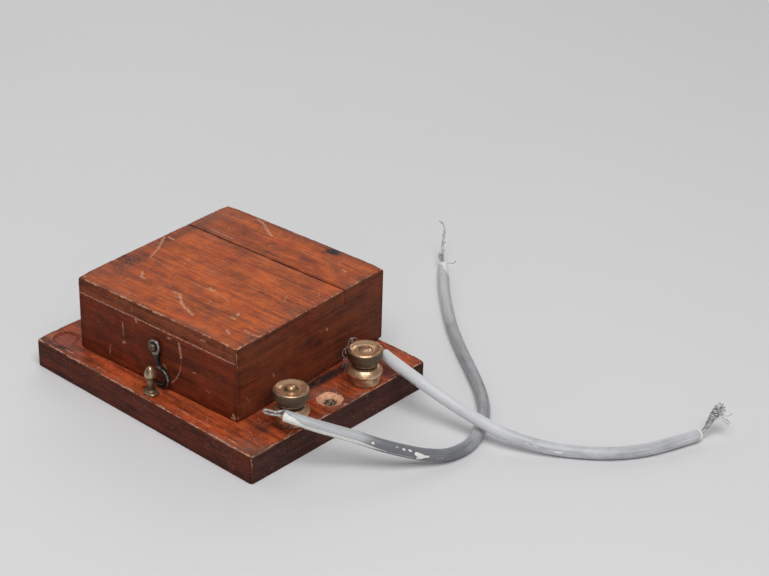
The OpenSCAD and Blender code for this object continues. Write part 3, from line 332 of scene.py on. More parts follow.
FRONT_SLITS = [
    ([(-1, 120), (3, 118), (8, 122)], (4.2, 3.0, 1.4)),
    ([(8, 122), (16, 112), (26, 108), (36, 112)], (1.4, 1.0, 0.9, 0.1)),
    ([(36, 116), (46, 118)], (0.14, 0.14)), ([(46.4, 66), (48.6, 84), (47.6, 112)], (0.7, 0.9, 0.8)),
    ([(48.8, 84), (51, 76)], (0.6, 0.3)), ([(31, 62), (31.3, 62)], (0.4, 0.4)),
    ([(39.2, 40), (39.4, 40)], (0.25, 0.25)), ([(41.6, 48), (42, 48)], (0.35, 0.35)),
    ([(43.6, 44), (44.4, 50)], (0.35, 0.3)), ([(55.4, 96), (56.6, 84)], (0.18, 0.12)),
    ([(54, 104), (54.8, 96)], (0.16, 0.12)),
]
FRONT_FAR_SLITS = [
    ([(0, 0), (0, 170)], (4.0, 5.0)), ([(0, 310), (0, 360)], (1.0, 4.0)),
    ([(3.4, 40), (8.8, 66)], (2.6, 1.0)),
]
REAR_SLITS = [
    ([(-1, 118), (5, 116), (18, 112)], (0.5, 0.34, 0.1)), ([(21, 34), (21.4, 34)], (0.3, 0.3)),
    ([(61, 60), (67, 76), (76, 82)], (0.05, 0.15, 0.08)), ([(70, 66), (75, 70)], (0.09, 0.05)),
    ([(72.4, 92), (74.6, 88)], (0.14, 0.2)),
]
REAR_FAR_SLITS = [
    ([(0, 0), (0, 360)], (0.8, 0.8)), ([(0, 40), (0, 150)], (1.0, 1.7)),
]
FRONT_WEAR_AND_LIGHT = [
    (0, 0.9), (26, 0.8), (34, 0.1), (60, 0.15), (72, 0.6), (84, 0.4), (150, 0.5), (170, 0.8), (205, 0.9),
]
REAR_WEAR_AND_LIGHT = [
    (0, 1.05), (40, 0.95), (64, 0.62), (84, 0.55), (130, 0.62),
]

# Places that the frame gives, in millimetres

MOUNTS = {mount["name"]: Vector(mount["pos_m"]) / MM for mount in frame["record"]["mounts"]}
FIXING = MOUNTS["fixing_hole"]


# Small helpers


def linear(colour):
    """A picked colour as the linear one that a shader takes."""
    return tuple(c / 12.92 if c <= 0.04045 else ((c + 0.055) / 1.055) ** 2.4 for c in colour) + (1.0,)


def shade(red, green, blue):
    return linear((red / 255, green / 255, blue / 255))


def dimmed(colour, share):
    """A linear colour with only a share of its light."""
    return tuple(share * c for c in colour[:3]) + (1.0,)


def metres(points):
    return [Vector(p) * MM for p in points]


def profile(*rows):
    """Rows of radius, height and brightness, which is polish and painted highlight, with their sizes in
    metres.
    """
    return [(radius * MM, height * MM, polish_and_highlight) for radius, height, polish_and_highlight in rows]


def cover_frame(case):
    return Matrix.Translation(case.cover_place) @ Matrix.Rotation(case.cover_turn, 4, "Z")


def node_box(node):
    """Lowest corner, highest corner and middle of a CAD node."""
    low, high = (Vector(v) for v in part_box(node))
    return low, high, (low + high) / 2


def shape(name, points, faces):
    mesh = bpy.data.meshes.new(name)
    mesh.from_pydata([tuple(p) for p in points], [], [tuple(f) for f in faces])
    return mesh


def linked(name, data):
    """A new object in the scene."""
    thing = bpy.data.objects.new(name, data)
    bpy.context.collection.objects.link(thing)
    return thing


def record_values(mesh, name, values):
    """Keeps one number for each vertex, for the shaders."""
    layer = mesh.attributes.new(name, "FLOAT", "POINT")
    layer.data.foreach_set("value", np.asarray(values, dtype=np.float32))


def piece(name, body, material, mesh, node, slot, smooth=40.0, **numbers):
    """A named piece that rides on a body, stands for a CAD node and carries numbers for its shader."""
    mesh.name = name
    mesh.validate()
    if smooth:
        mesh.shade_smooth()
        mesh.set_sharp_from_angle(angle=math.radians(smooth))
    else:
        mesh.shade_flat()
    if material:
        mesh.materials.clear()
        mesh.materials.append(material)
    for label, values in numbers.items():
        record_values(mesh, label, values)
    thing = linked(name, mesh)
    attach(thing, body)
    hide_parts(node)
    return thing


def vertex_array(mesh):
    flat = np.empty(len(mesh.vertices) * 3)
    mesh.vertices.foreach_get("co", flat)
    return flat.reshape(-1, 3)


def applied(thing):
    """The mesh of an object with its modifiers applied; the object goes."""
    graph = bpy.context.evaluated_depsgraph_get()
    mesh = bpy.data.meshes.new_from_object(thing.evaluated_get(graph))
    bpy.data.batch_remove([thing, thing.data])
    return mesh


def carved(thing, cutter, operation):
    """The mesh of an object cut by another; both objects go."""
    cut = thing.modifiers.new("cut", "BOOLEAN")
    cut.operation, cut.object, cut.solver = operation, cutter, "EXACT"
    mesh = applied(thing)
    bpy.data.batch_remove([cutter, cutter.data])
    return mesh


# Points closer than WELD become one, faces flatter than FLAT become one, and edges past SHARP are eased
WELD, FLAT, SHARP = 2e-6, math.radians(0.5), math.radians(35)


def solid_copy(node, bevel=0.0):
    """A CAD node's mesh as one clean solid, with its sharp edges eased."""
    work = bmesh.new()
    work.from_mesh(frame["nodes"][node].data)
    work.transform(frame["nodes"][node].matrix_world)
    bmesh.ops.remove_doubles(work, verts=work.verts, dist=WELD)
    bmesh.ops.dissolve_limit(work, angle_limit=FLAT, verts=work.verts, edges=work.edges)
    if bevel:
        sharp = [e for e in work.edges if e.is_manifold and e.calc_face_angle(0.0) > SHARP]
        bmesh.ops.bevel(work, geom=sharp, offset=bevel, segments=2, profile=0.6, affect="EDGES",
                        clamp_overlap=True)
    mesh = bpy.data.meshes.new(node)
    work.to_mesh(mesh)
    work.free()
    return mesh


def dress(node, body, material, bevel, slot):
    """Stands a clean, eased copy of a CAD node in its place."""
    piece(f"{node}_finished", body, material, solid_copy(node, bevel * MM), node, slot)


# Turned and swept shapes


def circle(sides):
    """Cosine and sine at equal steps round a circle."""
    return [(math.cos(math.tau * i / sides), math.sin(math.tau * i / sides)) for i in range(sides)]


def fuller(value, power):
    """A cosine or sine pushed outwards, which turns a circle into a rounded square."""
    return math.copysign(abs(value) ** power, value)


def hoop(low, high):
    """Faces between two rows of points that go round; a row of one point is a tip."""
    count = max(len(low), len(high))
    faces = []
    for i in range(count):
        j = (i + 1) % count
        if len(low) == 1:
            faces.append((low[0], high[j], high[i]))
        elif len(high) == 1:
            faces.append((low[i], low[j], high[0]))
        else:
            faces.append((low[i], low[j], high[j], high[i]))
    return faces


def rows_of(count, sides, start=0):
    """Numbers of the points in rows that lie one after another."""
    return [range(start + k * sides, start + (k + 1) * sides) for k in range(count)]


def skin(rows):
    return [face for low, high in zip(rows, rows[1:]) for face in hoop(low, high)]


def turned(profile, centre, sides=72, ring=False):
    """A turned solid: profile rows are radius, height and brightness (polish and painted highlight), from the
    foot's middle to the top's.

    The last row of a ring joins its first.
    """
    points, polish_and_highlight, rows = [], [], []
    for radius, height, polish in profile:
        spots = circle(sides) if radius > 1e-9 else [(0.0, 0.0)]
        rows.append(range(len(points), len(points) + len(spots)))
        points += [centre + Vector((radius * c, radius * s, height)) for c, s in spots]
        polish_and_highlight += [polish] * len(spots)
    return points, skin(rows + rows[:1] if ring else rows), polish_and_highlight


def eased(rows, ease, steps):
    """A profile of radius, height and brightness with its corners rounded."""
    out = [rows[0]]
    for a, b, c in zip(rows, rows[1:], rows[2:]):
        here, back, on = Vector(b[:2]), Vector(a[:2]), Vector(c[:2])
        reach = min(ease, 0.4 * (back - here).length, 0.4 * (on - here).length)
        start, end = here + (back - here).normalized() * reach, here + (on - here).normalized() * reach
        for k in range(steps + 1):
            t = k / steps
            spot = start * (1 - t) ** 2 + here * 2 * t * (1 - t) + end * t * t
            out.append((spot.x, spot.y, b[2]))
    return out + [rows[-1]]


# Straight steps between two of the points that a smooth curve goes through
CURVE_STEPS = 24


def run_along(points):
    """Distance along a line to each of its points."""
    run = [0.0]
    for a, b in zip(points, points[1:]):
        run.append(run[-1] + (b - a).length)
    return run


def smooth_route(points, step):
    """A smooth curve through points, as points a step apart."""
    ends = [points[0] * 2 - points[1]] + list(points) + [points[-1] * 2 - points[-2]]
    fine = []
    for a, b, c, d in zip(ends, ends[1:], ends[2:], ends[3:]):
        for k in range(CURVE_STEPS):
            t = k / CURVE_STEPS
            fine.append(0.5 * (2 * b + (c - a) * t + (2 * a - 5 * b + 4 * c - d) * t * t
                               + (3 * b - a - 3 * c + d) * t ** 3))
    fine.append(points[-1].copy())
    run = run_along(fine)
    count = max(2, round(run[-1] / step))
    out, i = [], 0
    for k in range(count + 1):
        want = run[-1] * k / count
        while i < len(run) - 2 and run[i + 1] < want:
            i += 1
        span = run[i + 1] - run[i]
        out.append(fine[i].lerp(fine[i + 1], (want - run[i]) / span if span else 0.0))
    return out


def way_on(route, i):
    """Direction of a route at one of its points."""
    return (route[min(i + 1, len(route) - 1)] - route[max(i - 1, 0)]).normalized()


def directions(route, up=None):
    """For each point of a route: its way on, and two directions square to it.

    The first of the two keeps towards up, or turns as little as it can where up isn't given.
    """
    out, lift = [], None
    for i in range(len(route)):
        way = way_on(route, i)
        if up is not None:
            lift = up
        elif lift is None:
            lift = Vector((0, 0, 1)) if abs(way.z) < 0.9 else Vector((1, 0, 0))
        lift = (lift - way * lift.dot(way)).normalized()
        out.append((way, lift, way.cross(lift)))
    return out


def wander(spot, seed, pace):
    """Smooth noise, about -1 to 1, at a place in millimetres."""
    return noise.noise(spot * pace + Vector((seed * 7.3, seed * 3.1, seed * 5.7)))


# Boards

EDGE_LINES = [0.0, 0.1, 0.25, 0.45, 0.75, 1.15, 1.6]
# Share of a rounding's radius by which its middle lies in from each of the two faces
MIDDLE_OF_ROUND = 0.293
# How near to a corner a board's edges are blunter, and how near to an edge it is marked as one in millimetres
CORNER_REACH, ARRIS_REACH = 3.5 * MM, 3.0
# How far inside its solid a board lies that is cut to the solid's holes
CUT_ROOM = 0.004 * MM


def grid_lines(low, high, cell):
    """Grid lines in metres between two edges, closer together at the edges."""
    edge = [d * MM for d in EDGE_LINES if d * MM < 0.4 * (high - low)]
    start, end = low + edge[-1], high - edge[-1]
    count = max(1, round((end - start) / cell))
    middle = [start + (end - start) * i / count for i in range(1, count)]
    return [low + d for d in edge] + middle + [high - d for d in reversed(edge)]


def lattice(xs, ys, zs):
    """Points and faces of a closed box whose sides carry these grid lines."""
    index, points, faces = {}, [], []

    def at(*key):
        if key not in index:
            index[key] = len(points)
            points.append(Vector((xs[key[0]], ys[key[1]], zs[key[2]])))
        return index[key]

    nx, ny, nz = len(xs) - 1, len(ys) - 1, len(zs) - 1
    for i in range(nx):
        for j in range(ny):
            faces.append((at(i, j, nz), at(i + 1, j, nz), at(i + 1, j + 1, nz), at(i, j + 1, nz)))
            faces.append((at(i, j, 0), at(i, j + 1, 0), at(i + 1, j + 1, 0), at(i + 1, j, 0)))
        for k in range(nz):
            faces.append((at(i, 0, k), at(i + 1, 0, k), at(i + 1, 0, k + 1), at(i, 0, k + 1)))
            faces.append((at(i, ny, k), at(i, ny, k + 1), at(i + 1, ny, k + 1), at(i + 1, ny, k)))
    for j in range(ny):
        for k in range(nz):
            faces.append((at(0, j, k), at(0, j, k + 1), at(0, j + 1, k + 1), at(0, j + 1, k)))
            faces.append((at(nx, j, k), at(nx, j + 1, k), at(nx, j + 1, k + 1), at(nx, j, k + 1)))
    return points, faces


def edge_width(spot, half, usual, chip, seed):
    """How wide an edge is worn at a place, in metres: mostly even, with some chips and blunt corners."""
    at = spot / MM
    fine, slow = wander(at, seed, 0.8), wander(at, seed + 1, 0.16)
    corner = math.exp(-(max(half[0] - abs(spot.x), half[1] - abs(spot.y)) / CORNER_REACH) ** 2)
    return usual * (1 + 0.55 * fine) + chip * max(0.8 * corner, 1.5 * slow + 0.7 * fine - 0.55)


def wear_point(spot, half, corner, low, high, low_width, high_width):
    """Moves a point of a sharp-edged block, centred on the block's axis, to where wear has left it."""
    inset = [half[0] - abs(spot.x), half[1] - abs(spot.y)]
    height = spot.z
    for rim, sign, width in ((high, 1, high_width), (low, -1, low_width)):
        depth = (rim - spot.z) * sign
        if width <= 0 or depth >= width or min(inset) >= width:
            continue
        if depth < 1e-7:
            inset = [o + MIDDLE_OF_ROUND * (width - o) if o < width else o for o in inset]
            near = width - min(min(inset), width)
            drop = width - math.sqrt(max(0.0, width * width - near * near))
        else:
            drop = depth + MIDDLE_OF_ROUND * (width - depth)
            near = width - drop
            push = width - math.sqrt(max(0.0, width * width - near * near))
            inset = [o + push * (1 - o / width) if o < width else o for o in inset]
        height = rim - sign * drop
    near = [corner - o for o in inset]
    if min(near) > 0:
        scale = max(near) / math.hypot(*near)
        inset = [corner - n * scale for n in near]
    return Vector((math.copysign(half[0] - inset[0], spot.x), math.copysign(half[1] - inset[1], spot.y),
                   height))


def closeness(flat, strokes, reach=2.0):
    """1 at the edge of the nearest scratch, more inside it, falling to 0 at the reach."""
    best = np.full(len(flat), reach)
    for path, half in strokes:
        for a, b in zip(path, path[1:]):
            a, b = np.array(a, dtype=float), np.array(b, dtype=float)
            t = np.clip((flat - a) @ (b - a) / ((b - a) @ (b - a)), 0, 1)
            best = np.minimum(best, np.linalg.norm(flat - a - t[:, None] * (b - a), axis=1) - half)
    return 1 - best / reach


def spots(flat, marks):
    """Depth of soft round marks."""
    depth = np.zeros(len(flat))
    for x, y, wide, high, strength in marks:
        off = ((flat[:, 0] - x) / wide) ** 2 + ((flat[:, 1] - y) / high) ** 2
        depth = np.maximum(depth, strength * np.exp(-off))
    return depth


def paint_board(mesh, to_local, half, low, high, views):
    """Writes the shaders' numbers on a board: nearness to an arris, scratches, dark marks with some painted
    shadow, and haze.

    views gives, for a choice of points, which two axes its marks are drawn on, and the marks.
    """
    local = vertex_array(mesh) @ np.array(to_local.to_3x3()).T + np.array(to_local.translation)
    inset = np.stack([half[0] - abs(local[:, 0]), half[1] - abs(local[:, 1]),
                      np.minimum(local[:, 2] - low, high - local[:, 2])], axis=1)
    _, edge, corner = np.sort(np.maximum(inset, 0), axis=1).T / MM
    local = local / MM
    marks = {label: np.zeros(len(local)) for label in ("scratch", "stain", "haze")}
    for chosen, axes, scratches, stains_and_shade, hazes in views:
        rows = chosen(local)
        flat = local[rows][:, axes]
        marks["scratch"][rows] = closeness(flat, scratches)
        marks["stain"][rows] = spots(flat, stains_and_shade)
        marks["haze"][rows] = spots(flat, hazes)
    marks["arris"] = np.clip(1 - edge / ARRIS_REACH + 0.14 * np.exp(-(corner / 4) ** 2), 0, 1)
    for label, values in marks.items():
        record_values(mesh, label, values)


def face_finishes(mesh, place, *finishes):
    """Gives a board's flat faces, its long edges and its ends a finish each; edges and ends take darker
    copies, painted shade on upright faces.
    """
    mesh.materials.clear()
    for finish in finishes:
        mesh.materials.append(finish)
    normals = np.empty(len(mesh.polygons) * 3)
    mesh.polygons.foreach_get("normal", normals)
    local = abs(normals.reshape(-1, 3) @ np.array(place.to_3x3()))
    mesh.polygons.foreach_set("material_index", np.array([2, 1, 0], dtype=np.int32)[local.argmax(axis=1)])


def cut_to_solid(node, points, faces):
    """A worn block kept only inside a CAD node's solid, so that it has the node's holes and notches."""
    block = linked(f"{node}_block", shape(f"{node}_block", points, faces))
    return carved(block, linked(f"{node}_cut", solid_copy(node)), "INTERSECT")


# Shader wiring


class Wiring:
    """Adds nodes to a tree. A value for an input is a constant, or a socket that is linked to it."""

    def __init__(self, tree):
        self.tree = tree

    def put(self, socket, value):
        if isinstance(value, bpy.types.NodeSocket):
            self.tree.links.new(value, socket)
        else:
            socket.default_value = value

    def add(self, kind, *ordered, setup=None, **named):
        node = self.tree.nodes.new(kind)
        for key, value in (setup or {}).items():
            setattr(node, key, value)
        for key, value in [*enumerate(ordered), *named.items()]:
            self.put(node.inputs[key if isinstance(key, int) else key.replace("_", " ")], value)
        return node

    def math(self, operation, *values):
        return self.add("ShaderNodeMath", *values, setup={"operation": operation}).outputs[0]

    def times(self, a, b):
        return self.math("MULTIPLY", a, b)

    def total(self, *parts, start=0.0):
        """Sum of values, each times its weight."""
        out = start
        for value, weight in parts:
            out = self.math("MULTIPLY_ADD", value, weight, out)
        return out

    def step(self, value, low, high, first=0.0, last=1.0):
        return self.add("ShaderNodeMapRange", value, low, high, first, last,
                        setup={"interpolation_type": "SMOOTHSTEP"}).outputs[0]

    def blend(self, factor, a, b, mode="MIX"):
        node = self.add("ShaderNodeMix", setup={"data_type": "RGBA", "blend_type": mode})
        for index, value in ((0, factor), (6, a), (7, b)):
            self.put(node.inputs[index], value)
        return node.outputs[2]

    def stretch(self, vector, scale, turn=0.0):
        return self.add("ShaderNodeMapping", Vector=vector, Scale=scale, Rotation=(0, 0, turn)).outputs[0]

    def noise(self, vector, scale, detail=2.0, roughness=0.55, distortion=0.0):
        return self.add("ShaderNodeTexNoise", Vector=vector, Scale=scale, Detail=detail, Roughness=roughness,
                        Distortion=distortion).outputs[0]

    def grain(self, vector, along, across, *choices):
        """Noise drawn out along X."""
        return self.noise(self.stretch(vector, (along, across, across)), 1.0, *choices)

    def dashes(self, vector, scale, low, high):
        """Short separate marks, 1 in their middle."""
        cells = self.add("ShaderNodeTexVoronoi", Vector=self.stretch(vector, scale), Scale=1.0).outputs[0]
        return self.step(cells, low, high, 1.0, 0.0)

    def value(self, name):
        return self.add("ShaderNodeAttribute", setup={"attribute_name": name}).outputs[2]

    def place(self, turn=0.0):
        """Place on the piece in millimetres, turned about the vertical."""
        spot = self.add("ShaderNodeTexCoord").outputs["Object"]
        return self.stretch(spot, (1 / MM,) * 3, turn)

    def bump(self, height, relief, strength):
        """Normal of a relief that is so many millimetres high."""
        return self.add("ShaderNodeBump", Strength=strength, Distance=relief * MM, Height=height).outputs[0]


# Node groups

SOCKETS = {"vector": "NodeSocketVector", "colour": "NodeSocketColor", "value": "NodeSocketFloat",
           "count": "NodeSocketInt", "material": "NodeSocketMaterial", "geometry": "NodeSocketGeometry"}


def mahogany_figure(w, given, out):
    """Bands, streaks, fibres and pores along X, with old dirt and pale flecks."""
    spot = given["Vector"]
    band = w.grain(spot, 0.009, 0.085, 3.0, 0.6, 0.6)
    streak = w.grain(spot, 0.03, 0.36, 4.0, 0.7, 0.3)
    fibre = w.grain(spot, 0.055, 1.35, 3.0, 0.7)
    mottle = w.noise(spot, 0.17, 5.0, 0.7)
    blush = w.grain(spot, 0.06, 0.13, 3.0, 0.6)
    dirt = w.grain(spot, 0.035, 0.07, 6.0, 0.72, 0.4)
    lines = w.times(w.step(fibre, 0.34, 0.45, 1.0, 0.0), w.step(streak, 0.35, 0.62, 1.0, 0.35))
    flecks = w.times(w.dashes(spot, (0.34, 2.4, 2.4), 0.06, 0.26), w.step(mottle, 0.46, 0.64, 0.1, 1.0))
    pores = w.times(w.dashes(spot, (0.18, 1.7, 1.7), 0.08, 0.3), w.step(streak, 0.4, 0.6, 0.9, 0.4))
    tone = w.total((band, 0.6), (streak, 0.7), (fibre, 0.9), (mottle, 0.7), start=-0.95)
    colour = w.blend(w.step(tone, 0.2, 0.8), given["Dark"], given["Light"])
    colour = w.blend(w.step(blush, 0.52, 0.68, 0.0, 0.5), colour, (1.0, 0.7, 0.66, 1.0), "MULTIPLY")
    colour = w.blend(w.step(blush, 0.48, 0.34, 0.0, 0.6), colour, (0.72, 0.8, 0.74, 1.0), "MULTIPLY")
    colour = w.blend(w.times(w.step(dirt, 0.5, 0.72), given["Grime"]), colour, given["Pore"])
    colour = w.blend(w.times(lines, 0.36), colour, given["Pore"])
    colour = w.blend(w.times(flecks, given["Grime"]), colour, (0.3, 0.17, 0.115, 1.0), "SCREEN")
    w.put(out["Color"], w.blend(w.times(pores, 0.5), colour, given["Pore"]))
    w.put(out["Height"], w.total((fibre, 0.5), (streak, 0.4), (pores, -0.8), (lines, -0.4)))
    w.put(out["Sheen"], w.total((mottle, 0.3), (pores, 0.15), (streak, 0.15), start=0.24))


# Scale and turn of the four lays of fine rubs on a board
RUBS = [((0.07, 3.6, 1.0), 0.08), ((0.08, 3.4, 1.0), 0.62), ((0.11, 3.9, 1.0), -0.75),
        ((0.14, 3.2, 1.0), 1.25)]


def worn_wood(w, given, out):
    """Where the varnish is gone: on edges, in scratches and in fine rubs."""
    spot = given["Vector"]
    grain, slow = w.noise(spot, 1.5, 3.0, 0.7), w.noise(spot, 0.2, 3.0, 0.6)
    reach = w.total((grain, -0.5), (slow, -1.2), (given["Wear"], -0.4), start=2.05)
    edge = w.times(w.step(w.math("SUBTRACT", given["Arris"], reach), -0.04, 0.06),
                   w.step(w.noise(spot, 0.7, 3.0, 0.7), 0.36, 0.62, 0.5, 0.95))
    broken = w.step(w.noise(spot, 1.2, 3.0, 0.75), 0.36, 0.56, 0.25, 0.88)
    cut = w.times(w.step(w.total((grain, 0.7), (given["Scratch"], 1.0)), 1.24, 1.45), broken)
    rubs = 0.0
    for scale, turn in RUBS:
        lay = w.stretch(spot, (1, 1, 1), turn)
        patch = w.step(w.noise(lay, 0.11, 3.0, 0.7), 0.45, 0.58)
        rubs = w.math("MAXIMUM", rubs, w.times(w.dashes(lay, scale, 0.08, 0.26), patch))
    rubs = w.times(rubs, w.step(w.noise(spot, 0.22, 2.0), 0.36, 0.6, 0.25, 0.9))
    rubs = w.times(rubs, given["Wear"])
    w.put(out["Mask"], w.math("MAXIMUM", w.math("MAXIMUM", edge, cut), rubs))


def tarnish(w, given, out):
    """Clouds and specks of dull metal, with the fine rings of a lathe."""
    spot = given["Vector"]
    cloud, speck = w.noise(spot, 0.4, 4.0, 0.7), w.noise(spot, 1.7, 3.0, 0.65)
    rings = w.noise(w.stretch(spot, (0.25, 0.25, 5.0)), 1.0, 2.0)
    # The polish given to a piece is partly painted highlight where light glints on turned brass.
    polish_and_highlight = w.total((cloud, 1.2), (speck, 0.8), (given["Polish"], 1.0), start=-1.45)
    w.put(out["Color"], w.blend(w.step(polish_and_highlight, -0.25, 0.65), given["Dull"], given["Bright"]))
    w.put(out["Roughness"], w.step(polish_and_highlight, -0.3, 0.8, 0.5, 0.16))
    w.put(out["Height"], w.total((speck, 0.4), (rings, 0.6)))


def tube(w, line, sides, radius):
    """A closed round tube along a curve."""
    ring = w.add("GeometryNodeCurvePrimitiveCircle", setup={"mode": "RADIUS"}, Resolution=sides,
                 Radius=radius)
    return w.add("GeometryNodeCurveToMesh", line, ring.outputs[0], Fill_Caps=True).outputs[0]


def realised(w, given, out, shape):
    """Ends a tree: real geometry in the given material."""
    real = w.add("GeometryNodeRealizeInstances", shape).outputs[0]
    last = w.add("GeometryNodeSetMaterial", real, Material=given["Material"])
    w.put(out["Geometry"], last.outputs[0])


def drawn_wire(w, given, out):
    """Round wire along every curve, with its corners bent to a radius."""
    bent = w.add("GeometryNodeFilletCurve", given["Geometry"], setup={"mode": "POLY"}, Count=6,
                 Radius=given["Bend"], Limit_Radius=True)
    realised(w, given, out, tube(w, bent.outputs[0], given["Sides"], given["Radius"]))


def coil_winding(w, given, out):
    """Turns of wire side by side on a drum along Y."""
    turns = w.add("GeometryNodeCurveSpiral", Resolution=36, Rotations=given["Turns"],
                  Start_Radius=given["Radius"], End_Radius=given["Radius"], Height=given["Length"])
    laid = w.add("GeometryNodeTransform", tube(w, turns.outputs[0], 6, given["Wire"]),
                 Rotation=(-math.pi / 2, 0, 0), Translation=given["Middle"])
    both = w.add("GeometryNodeJoinGeometry", laid.outputs[0])
    w.put(both.inputs[0], given["Geometry"])
    realised(w, given, out, both.outputs[0])


# Kind, inputs, outputs and wiring of every node group
GROUPS = {
    "Mahogany figure": (
        "ShaderNodeTree", dict(Vector="vector", Light="colour", Dark="colour", Pore="colour", Grime="value"),
        dict(Color="colour", Height="value", Sheen="value"), mahogany_figure),
    "Worn edges and scratches": (
        "ShaderNodeTree", dict(Vector="vector", Arris="value", Scratch="value", Wear="value"),
        dict(Mask="value"), worn_wood),
    "Tarnish": (
        "ShaderNodeTree", dict(Vector="vector", Bright="colour", Dull="colour", Polish="value"),
        dict(Color="colour", Roughness="value", Height="value"), tarnish),
    "Drawn wire": (
        "GeometryNodeTree", dict(Geometry="geometry", Radius="value", Bend="value", Sides="count",
                                 Material="material"),
        dict(Geometry="geometry"), drawn_wire),
    "Coil winding": (
        "GeometryNodeTree", dict(Geometry="geometry", Turns="value", Radius="value", Length="value",
                                 Wire="value", Middle="vector", Material="material"),
        dict(Geometry="geometry"), coil_winding),
}


def group(name):
    """A node group, made the first time that it is asked for."""
    if name not in bpy.data.node_groups:
        kind, inputs, outputs, wire = GROUPS[name]
        tree = bpy.data.node_groups.new(name, kind)
        for way, sockets in (("INPUT", inputs), ("OUTPUT", outputs)):
            for label, socket in sockets.items():
                tree.interface.new_socket(label, in_out=way, socket_type=SOCKETS[socket])
        w = Wiring(tree)
        wire(w, w.add("NodeGroupInput").outputs, w.add("NodeGroupOutput").inputs)
    return bpy.data.node_groups[name]


def use(w, name, **inputs):
    """Outputs of a shader group that is put into a material."""
    return w.add("ShaderNodeGroup", setup={"node_tree": group(name)}, **inputs).outputs


def grown(thing, name, **inputs):
    """The plain mesh that a node tree makes of an object; the object goes."""
    tree = group(name)
    modifier = thing.modifiers.new(name, "NODES")
    modifier.node_group = tree
    ids = {item.name: item.identifier for item in tree.interface.items_tree if item.in_out == "INPUT"}
    for label, value in inputs.items():
        modifier[ids[label]] = value
    return applied(thing)


# Finishes


def finish(wire):
    """Turns a function that wires a shader into one that gives the material of a name, made once."""

    def named(name, *choices, **more):
        if name not in bpy.data.materials:
            material = bpy.data.materials.new(name)
            material.use_nodes = True
            material.node_tree.nodes.clear()
            w = Wiring(material.node_tree)
            shader = w.add("ShaderNodeBsdfPrincipled")
            w.add("ShaderNodeOutputMaterial", shader.outputs[0])
            for label, value in wire(w, *choices, **more).items():
                w.put(shader.inputs[label], value)
        return bpy.data.materials[name]

    return named


@finish
def timber(w, colours, part, turn, wear, grime, over=None):
    """Varnished mahogany, figured along its length, with its marks of use; over may add more of them."""
    spot, pore, bare = w.place(turn), linear(colours.pore), linear(colours.bare)
    figure = use(w, "Mahogany figure", Vector=spot, Light=linear(getattr(colours, f"{part}_light")),
                 Dark=linear(getattr(colours, f"{part}_dark")), Pore=pore, Grime=grime)
    arris = w.value("arris")
    worn = use(w, "Worn edges and scratches", Vector=spot, Arris=arris, Scratch=w.value("scratch"),
               Wear=wear)["Mask"]
    patch = w.noise(spot, 0.5, 3.0, 0.65)
    haze = w.times(w.value("haze"), w.step(patch, 0.3, 0.7, 0.35, 1.0))
    # Dark marks here include painted shadow on the baseboard.
    stain = w.step(w.total((w.value("stain"), 1.0), (patch, 0.5)), 0.32, 1.05)
    rim = w.times(w.step(arris, 0.1, 0.95), w.step(patch, 0.35, 0.65, 0.1, 0.6))
    colour = w.blend(rim, figure["Color"], pore)
    colour = w.blend(haze, colour, linear(colours.haze))
    colour = w.blend(stain, colour, linear(colours.stain))
    colour = w.blend(worn, colour, w.blend(w.step(patch, 0.35, 0.7), bare, dimmed(bare, 0.6)))
    return {
        "Base Color": over(w, colour) if over else colour,
        "Roughness": w.total((figure["Sheen"], 1.0), (worn, 0.25), (haze, 0.2)),
        "Normal": w.bump(w.total((figure["Height"], 1.0), (worn, -0.5)), 0.06, 0.7),
        "Specular IOR Level": 0.07,
    }


def fixing_wear(w, colour):
    """Bare, rubbed wood round and in the open fixing hole, with painted shade inside it, and old filling
    round the plugged one.
    """
    spot = w.place()
    rough, slow, hole = w.noise(spot, 1.1, 3.0, 0.7), w.noise(spot, 0.3, 2.0), w.value("hole")
    ring = w.step(w.total((hole, 1.0), (rough, 0.4), (slow, 0.3)), 1.3, 1.42)
    scuff = w.times(w.step(hole, 0.5, 0.95), w.step(rough, 0.48, 0.68, 0.0, 0.6))
    wood = w.blend(w.step(rough, 0.35, 0.7), shade(240, 188, 154), shade(198, 128, 94))
    # Dark mottles down the hole are painted shade among paler wood.
    bore_with_shade = w.blend(w.step(rough, 0.42, 0.58), shade(96, 76, 54), shade(212, 184, 156))
    wood = w.blend(w.step(w.value("depth"), 0.16, 0.27), wood, bore_with_shade)
    colour = w.blend(scuff, colour, shade(182, 152, 136))
    plug = w.total((w.value("plug"), 1.0), (rough, 0.2))
    fill = w.blend(w.step(rough, 0.4, 0.62), shade(92, 40, 31), shade(160, 70, 46))
    colour = w.blend(w.step(plug, 1.06, 1.14, 0.0, 0.85), colour, fill)
    rim = w.times(w.step(plug, 1.0, 1.06), w.step(plug, 1.12, 1.18, 1.0, 0.0))
    colour = w.blend(w.times(rim, w.step(slow, 0.42, 0.6, 0.0, 0.6)), colour, shade(160, 124, 110))
    return w.blend(ring, colour, wood)


@finish
def brass(w, metal, kind="brass", polish=None, tone=1.0):
    """Brass with old lacquer and tarnish; polish is an even share, or None to read it from the piece."""
    given = use(w, "Tarnish", Vector=w.place(), Bright=dimmed(linear(getattr(metal, f"{kind}_bright")), tone),
                Dull=linear(getattr(metal, f"{kind}_dull")),
                Polish=w.value("polish") if polish is None else polish)
    return {"Base Color": given["Color"], "Roughness": given["Roughness"], "Metallic": 0.78,
            "Normal": w.bump(given["Height"], 0.08, 0.6)}


